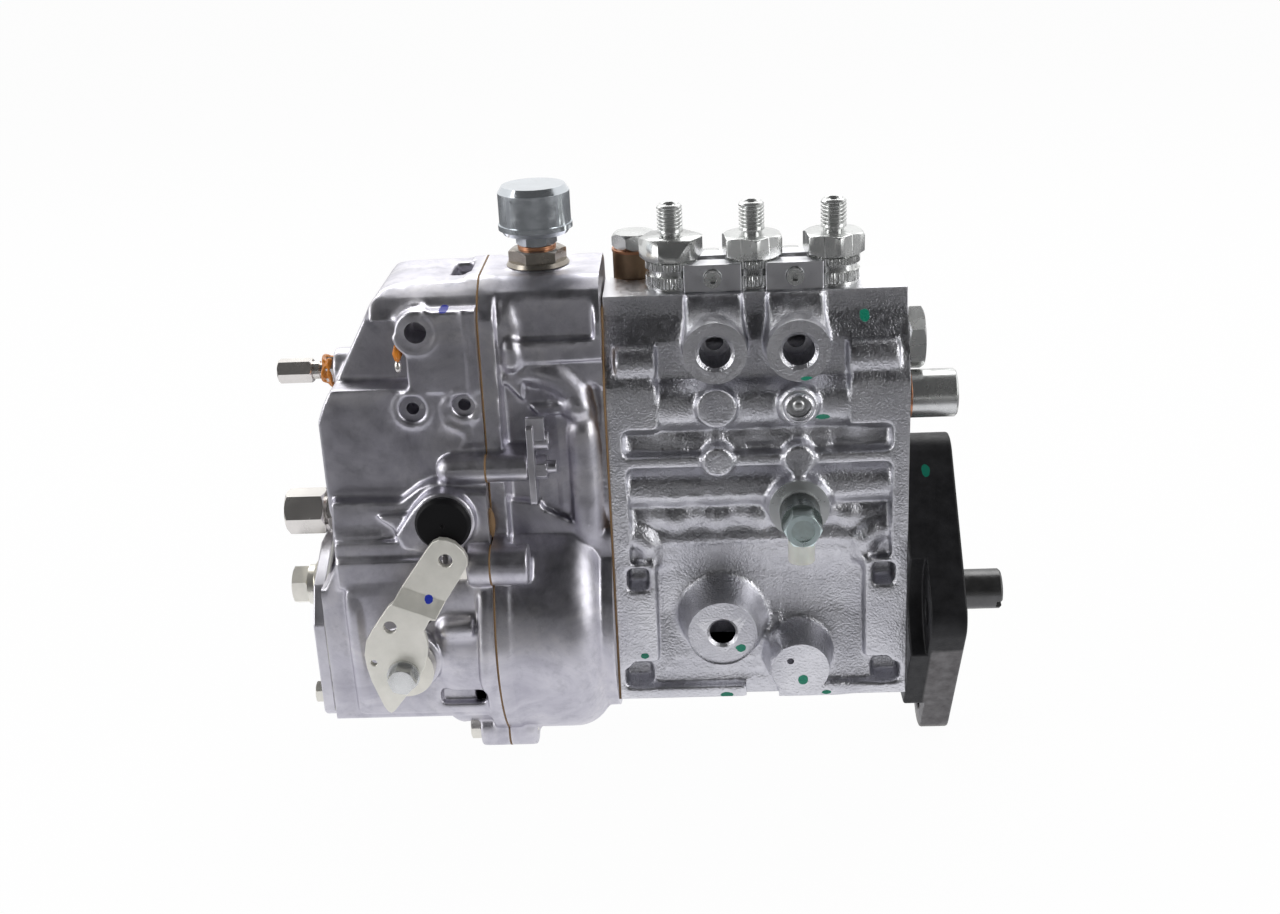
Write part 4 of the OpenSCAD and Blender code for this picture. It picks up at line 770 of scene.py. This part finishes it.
def body_forms(field):
    """Foundry shapes of the pump body's front that only soft blends give."""
    field.tube([(x, -18, z) for x, z in SLOT_WAVE], 3.0, 5)
    field.tube([(-131, -16.5, 61), (-30, -16.5, 61)], 7.5, 4)
    field.tube([(x, -19.5, z) for x, z in CHAMBER_FOOT], 2.6, 6)
    for side, edge in PANEL_EDGES:
        field.tube([(edge + side * out, y, z) for out, y, z in EAR], 3.2, 4)
    for left, right, bottom, top in NOTCHES:
        field.box((left, -34, bottom), (right, -19, top), 2.5, carve=True, corner=1.5)
    field.cone(-37, -18, 12.2, 16.6, OIL_INLET[0], 3.5, 8)
    field.cone(-33, -18, 9.9, 13.2, BLIND_BOSS[0], -13.8, 7)
    field.cone(-31, -18, 9.5, 12.5, VENT[0], 55, 5)


casting(
    "pump_housing",
    "cast_aluminium",
    0.85,
    planes=[(0, BODY_LEFT, -1), (0, BODY_RIGHT, 1), (2, BODY_DECK, 1), (2, BODY_BASE, -1)],
    bores=HOUSING_BORES,
    bosses=HOUSING_BOSSES,
    cuts=HOUSING_CUTS,
    forms=body_forms,
)

# The governor housing
GOV_BORES = [
    ("z", GOV_TOP - 12, GOV_TOP + PAST, 6.05, BREATHER_X, 0),
    ("x", -158, -139, 6.5, *RACK),
]
# Lines on its front, as (x, z)
CLIP_BOSS = [(-176, 139), (-176, 134), (-174.8, 131), (-176, 127), (-174.8, 120), (-176, 114)]
FLANK_EDGE = [(-171, 113), (-158, 110), (-152, 103), (-149.5, 92), (-149, 70), (-149, 44)]


def governor_housing_forms(field):
    """The hollow flank before the body joint, its edge and the rib beside the clip."""
    field.box((-147.4, -60, 44), (-142, -23.6, 106), 4, carve=True, corner=2.4)
    field.drape(CLIP_BOSS, 2.2, 1.5, 3)
    field.drape(FLANK_EDGE, 3.0, 0.7, 5)


casting(
    "governor_housing",
    "diecast_aluminium",
    0.75,
    planes=[(0, GOV_LEFT, -1), (0, GOV_RIGHT, 1)],
    bores=GOV_BORES,
    forms=governor_housing_forms,
)

# The governor cover
COVER_BORES = [
    ("y", -52.5, -30, 6.05, *LEVER),
    ("y", -49.5, -36, 9.02, *COVER_PLUG),
    ("y", -36, -20, 4.25, *EYE),
    ("y", -33.5, -24, 2.5, *LEFT_HOLE),
    ("y", -33.5, -24, 2.5, *RIGHT_HOLE),
    ("x", -251, -225, 3.05, 0, FULL_LOAD_Z),
    ("x", -254.5, -235, 6.05, 0, IDLE_Z),
]
COVER_SPOT_FACES = [
    ("y", -40, -33.2, 5.2, *LEFT_HOLE),
    ("y", -40, -33.2, 4.4, *RIGHT_HOLE),
]
# Lines on its front, as (x, z)
HOLE_FOLD = [(-195, 109.5), (-199.4, 107), (-202.4, 102), (-201.8, 95), (-195, 91.8)]
HOLE_FOLD += [(-193.2, 88.4), (-196, 85.5)]
JOINT_SEAM = [(-191.5, 140), (-190.5, 120), (-190.2, 100), (-190, 86)]
IDLE_FOLD = [(-247.9, 51.3), (-231, 51.4)]
END_FOLD = [(-244, 24), (-244, 2), (-243, -20)]
LEVER_FOLD = [(-190.5, 30), (-191, 10), (-192, -12)]


def governor_cover_forms(field):
    """Raised rims, seams and folds of the cover's front."""
    field.drape_ring(EYE, 8.5, 1.2, 0.4, 1.2)
    field.drape_ring(LEFT_HOLE, 7.0, 1.2, 0.6, 1.2)
    field.drape_ring(RIGHT_HOLE, 5.8, 1.0, 0.5, 1.2)
    field.drape(HOLE_FOLD, 1.2, 0.6, 1.5)
    field.drape(JOINT_SEAM, 1.2, 0.5, 1.5)
    field.drape(IDLE_FOLD, 1.4, 0.8, 2)
    field.drape(END_FOLD, 1.6, 0.6, 3)
    field.drape(LEVER_FOLD, 1.8, 0.6, 3)


casting(
    "governor_cover",
    "diecast_aluminium",
    0.75,
    planes=[(0, COVER_RIGHT, 1), (0, COVER_LEFT, -1)],
    bores=COVER_BORES,
    cuts=COVER_SPOT_FACES,
    forms=governor_cover_forms,
)


# Machined CAD nodes
THIN_PLATES = ("drive_flange", "clamp_jaws", "end_plate", "control_lever", "line_clip")
NODE_SLOTS = {row["node"]: row["material_slot"] for row in frame["record"]["subparts"]}
NODE_LOOKS = {"control_lever": "lever_zinc", "vent_screw": "vent_zinc"}
BEVEL = 0.2
BEVELS = {
    "drive_flange": 1.0,
    "clamp_jaws": 0.5,
    "end_plate": 0.8,
    "control_lever": 0.35,
    "line_clip": 0.3,
    "idle_cap_nut": 0.3,
    "gaskets": 0.0,
    "cover_plug": 0.4,
    "rack_cap": 0.3,
}
WELD = 0.002
# In degrees: faces this nearly flat are joined, and edges past the other are rounded
FLAT_ANGLE, EDGE_ANGLE = 0.6, 28


def finish_node(node, look, bevel):
    """A CAD node keeps its mesh and gets rounded edges and its material."""
    piece = NODES[node]
    mesh = piece.data
    if "custom_normal" in mesh.attributes:
        mesh.attributes.remove(mesh.attributes["custom_normal"])
    mesh.polygons.foreach_set("use_smooth", [True] * len(mesh.polygons))
    mesh.materials.clear()
    mesh.materials.append(LOOKS[look])
    piece.modifiers.new("weld", "WELD").merge_threshold = WELD * MM
    if bevel:
        flat = piece.modifiers.new("flat", "DECIMATE")
        flat.decimate_type = "DISSOLVE"
        flat.angle_limit = math.radians(FLAT_ANGLE)
        edge = piece.modifiers.new("edge", "BEVEL")
        edge.width = bevel * MM
        edge.segments = 2
        edge.limit_method = "ANGLE"
        edge.angle_limit = math.radians(EDGE_ANGLE)
        edge.use_clamp_overlap = node not in THIN_PLATES
        edge.harden_normals = True


for node, piece in NODES.items():
    if not piece.hide_render and node != "valve_holders":
        look = NODE_LOOKS.get(node, NODE_SLOTS[node])
        finish_node(node, look, 0.0 if "spring" in node else BEVELS.get(node, BEVEL))


# Valve holders with threads and knurls
STUD_R, THREAD_DEPTH, THREAD_PITCH = 5.0, 0.85, 1.5
THREAD_SPAN = (160.6, 170.2)
THREAD_STEPS = 36
KNURL_R, KNURL_DEPTH, KNURL_COUNT = 10.4, 0.5, 56
KNURL_SPANS = ((138.6, 143.6), (146.2, 149.1))
# How far the cutters stand out of the metal, and half their mouths as a share of the pitch
THREAD_OVER, THREAD_MOUTH = 0.6, 0.5625
KNURL_OVER, KNURL_MOUTH = 0.5, 0.4


def sweep(rings):
    """A closed tube mesh through equal rings of points."""
    n = len(rings[0])
    points = [p for ring in rings for p in ring]
    faces = [
        (k * n + j, k * n + (j + 1) % n, (k + 1) * n + (j + 1) % n, (k + 1) * n + j)
        for k in range(len(rings) - 1)
        for j in range(n)
    ]
    faces += [tuple(range(n))[::-1], tuple((len(rings) - 1) * n + j for j in range(n))]
    return solid_mesh("sweep", points, faces)


def thread_cutter(x):
    """The groove of a thread around the stud at x."""
    bottom, top = THREAD_SPAN
    inner, outer = STUD_R - THREAD_DEPTH, STUD_R + THREAD_OVER
    mouth = THREAD_PITCH * THREAD_MOUTH
    profile = ((inner, 0), (outer, -mouth), (outer, mouth))
    rings = []
    for k in range(int((top - bottom) / THREAD_PITCH * THREAD_STEPS) + 1):
        a = 2 * math.pi * k / THREAD_STEPS
        z = bottom + THREAD_PITCH * k / THREAD_STEPS
        rings.append([(x + r * math.cos(a), r * math.sin(a), z + dz) for r, dz in profile])
    return sweep(rings)


def knurl_cutter(x, bottom, top):
    """Upright V grooves around a band of the holder at x, as one mesh."""
    mouth = 2 * math.pi / KNURL_COUNT * KNURL_MOUTH
    inner, outer = KNURL_R - KNURL_DEPTH, KNURL_R + KNURL_OVER
    points, faces = [], []
    for k in range(KNURL_COUNT):
        a = 2 * math.pi * k / KNURL_COUNT
        b = len(points)
        for z in (bottom, top):
            for angle, r in ((a, inner), (a - mouth, outer), (a + mouth, outer)):
                points.append((x + r * math.cos(angle), r * math.sin(angle), z))
        faces += [
            (b, b + 2, b + 1),
            (b + 3, b + 4, b + 5),
            (b, b + 1, b + 4, b + 3),
            (b + 1, b + 2, b + 5, b + 4),
            (b + 2, b, b + 3, b + 5),
        ]
    return solid_mesh("knurl", points, faces)


def valve_holders():
    """The three delivery valve holders, with threads and knurls cut into the CAD mesh."""
    shape = bmesh.new()
    shape.from_mesh(NODES["valve_holders"].data)
    bmesh.ops.remove_doubles(shape, verts=shape.verts, dist=WELD * MM)
    mesh = mesh_of(shape, "valve_holders_cut")
    for x in CYL_X:
        mesh = cut(mesh, thread_cutter(x))
        for bottom, top in KNURL_SPANS:
            mesh = cut(mesh, knurl_cutter(x, bottom, top))
    piece = new_piece("valve_holders_cut", mesh, "steel", replaces=("valve_holders",))
    smooth(mesh, 30)
    keep_flats(piece)


# Lacquer and sealant
BEAD_STEP = 0.8
BEAD_SIDES = 9


def blob(name, look, centre, radii, seed, uneven):
    """A drop of lacquer or sealant: an uneven ellipsoid."""
    shape = bmesh.new()
    bmesh.ops.create_icosphere(shape, subdivisions=5, radius=1)
    for vertex in shape.verts:
        vertex.co *= 1 + uneven * noise.noise(vertex.co * 1.7 + Vector((seed, 0, 0)))
    stretch = Matrix.Diagonal((*(Vector(radii) * MM), 1))
    shape.transform(Matrix.Translation(Vector(centre) * MM) @ stretch)
    new_piece(name, smooth(mesh_of(shape, name), 180), look)


def bead(name, look, points, radius, seed):
    """A hand-laid bead of sealant along a line."""
    corners = [Vector(p) for p in points]
    fine = []
    for a, b in zip(corners, corners[1:]):
        n = max(2, int((b - a).length / BEAD_STEP))
        fine += [a.lerp(b, i / n) for i in range(n)]
    fine.append(corners[-1])
    turns = [2 * math.pi * i / BEAD_SIDES for i in range(BEAD_SIDES)]
    rings = []
    for i, p in enumerate(fine):
        along = (fine[min(i + 1, len(fine) - 1)] - fine[max(i - 1, 0)]).normalized()
        u = along.cross(Vector((1, 0, 0))).normalized()
        v = along.cross(u)
        r = radius * (1 + 0.45 * noise.noise(p * 0.35 + Vector((seed, 3, 1))))
        rings.append([p + (u * math.cos(a) + v * math.sin(a)) * r for a in turns])
    new_piece(name, smooth(sweep(rings), 60), look)


SEALANT_LINE = [(-257.3, -40.6, -27.5), (-257.3, -41.0, 11.5), (-257.3, -33.2, 25.6), (-257.3, -12, 36)]

valve_holders()
blob("lacquer_nut", "orange_lacquer", (-253.4, 0, FULL_LOAD_Z), (3.3, 6.4, 6.4), 2, 0.3)
blob("lacquer_notch", "orange_lacquer", (-218.3, -33.2, 124.2), (1.7, 2.2, 3.4), 5, 0.2)
blob("notch_tip", "nickel", (-218.4, -33.4, 118.9), (1.5, 1.9, 2.6), 8, 0.0)
blob("sealant_drip", "gasket_paper", (-186.6, -40.2, 55.2), (1.5, 1.6, 6.0), 4, 0.12)
bead("sealant", "sealant_white", SEALANT_LINE, 0.75, 6)


# Floor, light and camera, in metres
FLOOR_GAP = 0.0002
FLOOR_TONE = 0.86
BACKGROUND_TONE = 0.97
WORLD_LIGHT = 0.35
CENTRE = (-0.12, 0, 0.05)
# Lamps: name, place, size and watts, all aimed at the centre
LAMPS = [
    ("top", (-0.15, 0.85, 1.1), (2.0, 0.9), 13),
    ("left", (-1.2, -0.4, 0.5), (0.5, 1.0), 5),
    ("right", (1.0, -0.5, 0.5), (0.5, 1.0), 5),
]
# Cards that lie just over the floor, facing up: name, size, place and tone
TABLE_CARDS = [
    ("table_flag", (2.4, 1.3), (-0.1, -0.87, -0.056), 0.08),
    ("back_table_flag", (2.4, 1.5), (-0.1, 0.87, -0.056), 0.16),
    ("near_flag", (1.2, 0.24), (-0.1, -0.10, -0.057), 0.88),
    ("right_table_flag", (0.9, 0.34), (0.64, -0.05, -0.056), 0.2),
    ("left_table_flag", (0.9, 0.34), (-0.96, -0.05, -0.056), 0.25),
]
CAMERA_AT = (-0.10312, -0.60237, 0.30269)
CAMERA_PITCH, CAMERA_YAW, CAMERA_ROLL = 21.5, -2.4, 2.65
CAMERA_LENS, CAMERA_SENSOR = 43.89, 36.0


def staged_plane(name, size, at):
    """A square plane of the studio, facing up."""
    shape = bmesh.new()
    bmesh.ops.create_grid(shape, x_segments=1, y_segments=1, size=size / 2)
    plane = bpy.data.objects.new(name, mesh_of(shape, name))
    plane.location = at
    bpy.context.scene.collection.objects.link(plane)
    return plane


def aimed(at, aim, front):
    """The rotation at a place that turns its front axis to an aim."""
    return (Vector(aim) - Vector(at)).to_track_quat(front, "Y").to_euler()


def background_rays(tree):
    """1 for rays that should find the white background: camera, glossy and transmission rays."""
    rays = tree.nodes.new("ShaderNodeLightPath").outputs
    found = rays["Is Camera Ray"]
    for kind in ("Is Glossy Ray", "Is Transmission Ray"):
        either = tree.nodes.new("ShaderNodeMath")
        either.operation = "MAXIMUM"
        tree.links.new(found, either.inputs[0])
        tree.links.new(rays[kind], either.inputs[1])
        found = either.outputs[0]
    return found


def make_floor():
    """A pale floor that takes the shadow and is nearly white to the camera and to reflections."""
    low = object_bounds()[0].z
    floor = staged_plane("floor", 30, (0, 0, low - FLOOR_GAP))
    mat = bpy.data.materials.new("floor")
    mat.use_nodes = True
    tree = mat.node_tree
    diffuse = tree.nodes["Principled BSDF"]
    diffuse.inputs["Base Color"].default_value = (FLOOR_TONE, FLOOR_TONE, FLOOR_TONE, 1)
    diffuse.inputs["Roughness"].default_value = 0.9
    diffuse.inputs["Specular IOR Level"].default_value = 0.0
    glow = tree.nodes.new("ShaderNodeEmission")
    glow.inputs["Strength"].default_value = 1.0
    share = tree.nodes.new("ShaderNodeMath")
    share.operation = "MULTIPLY"
    share.inputs[1].default_value = BACKGROUND_TONE
    mix = tree.nodes.new("ShaderNodeMixShader")
    tree.links.new(background_rays(tree), share.inputs[0])
    tree.links.new(share.outputs[0], mix.inputs[0])
    tree.links.new(diffuse.outputs[0], mix.inputs[1])
    tree.links.new(glow.outputs[0], mix.inputs[2])
    tree.links.new(mix.outputs[0], tree.nodes["Material Output"].inputs["Surface"])
    floor.data.materials.append(mat)


def make_world():
    """Soft light from all round, with a white background behind it."""
    world = bpy.data.worlds.new("studio")
    bpy.context.scene.world = world
    world.use_nodes = True
    tree = world.node_tree
    back = tree.nodes["Background"]
    back.inputs["Color"].default_value = (1, 1, 1, 1)
    strength = tree.nodes.new("ShaderNodeMapRange")
    strength.inputs["To Min"].default_value = WORLD_LIGHT
    strength.inputs["To Max"].default_value = 1.0
    tree.links.new(background_rays(tree), strength.inputs["Value"])
    tree.links.new(strength.outputs["Result"], back.inputs["Strength"])


def card(name, size, at, aim, tone):
    """A studio card that only reflections meet."""
    panel = staged_plane(name, 1, at)
    panel.scale = (*size, 1)
    panel.rotation_euler = aimed(at, aim, "Z")
    mat = bpy.data.materials.new(name)
    mat.use_nodes = True
    tree = mat.node_tree
    tree.nodes.remove(tree.nodes["Principled BSDF"])
    glow = tree.nodes.new("ShaderNodeEmission")
    glow.inputs["Color"].default_value = (tone, tone, tone * 1.04, 1)
    tree.links.new(glow.outputs[0], tree.nodes["Material Output"].inputs["Surface"])
    panel.data.materials.append(mat)
    panel.visible_camera = panel.visible_shadow = panel.visible_diffuse = False


def lamp(name, at, size, watts):
    """A rectangular area lamp."""
    data = bpy.data.lights.new(name, "AREA")
    data.shape = "RECTANGLE"
    data.size, data.size_y = size
    data.energy = watts
    light = bpy.data.objects.new(name, data)
    light.location = at
    light.rotation_euler = aimed(at, CENTRE, "-Z")
    bpy.context.scene.collection.objects.link(light)


def make_light():
    """Soft light from above and the sides, and dark flags that give the metal its contrast."""
    for row in LAMPS:
        lamp(*row)
    card("front_flag", (5.0, 2.0), (-0.1, -1.5, 0.95), (-0.1, 0, 0.3), 0.02)
    card("ceiling_flag", (3.0, 1.9), (-0.1, -0.3, 1.5), (-0.1, -0.3, 0), 0.03)
    for name, size, at, tone in TABLE_CARDS:
        card(name, size, at, (at[0], at[1], 1), tone)


def make_camera():
    """The photo's camera: place, pitch, yaw, roll and lens found by fitting known points."""
    pitch, yaw, roll = (math.radians(a) for a in (CAMERA_PITCH, CAMERA_YAW, CAMERA_ROLL))
    level = Vector((math.sin(yaw), math.cos(yaw), 0)) * math.cos(pitch)
    ahead = level - Vector((0, 0, math.sin(pitch)))
    right = Vector((math.cos(yaw), -math.sin(yaw), 0))
    down = ahead.cross(right)
    turned_right = right * math.cos(roll) + down * math.sin(roll)
    turned_down = down * math.cos(roll) - right * math.sin(roll)
    axes = Matrix((turned_right, -turned_down, -ahead)).transposed().to_4x4()
    data = bpy.data.cameras.new("camera")
    data.sensor_width = CAMERA_SENSOR
    data.lens = CAMERA_LENS
    data.clip_start = 0.01
    data.clip_end = 60
    camera = bpy.data.objects.new("camera", data)
    camera.matrix_world = Matrix.Translation(CAMERA_AT) @ axes
    bpy.context.scene.collection.objects.link(camera)
    bpy.context.scene.camera = camera


make_floor()
make_world()
make_light()
make_camera()
bpy.context.scene.view_settings.view_transform = "Standard"
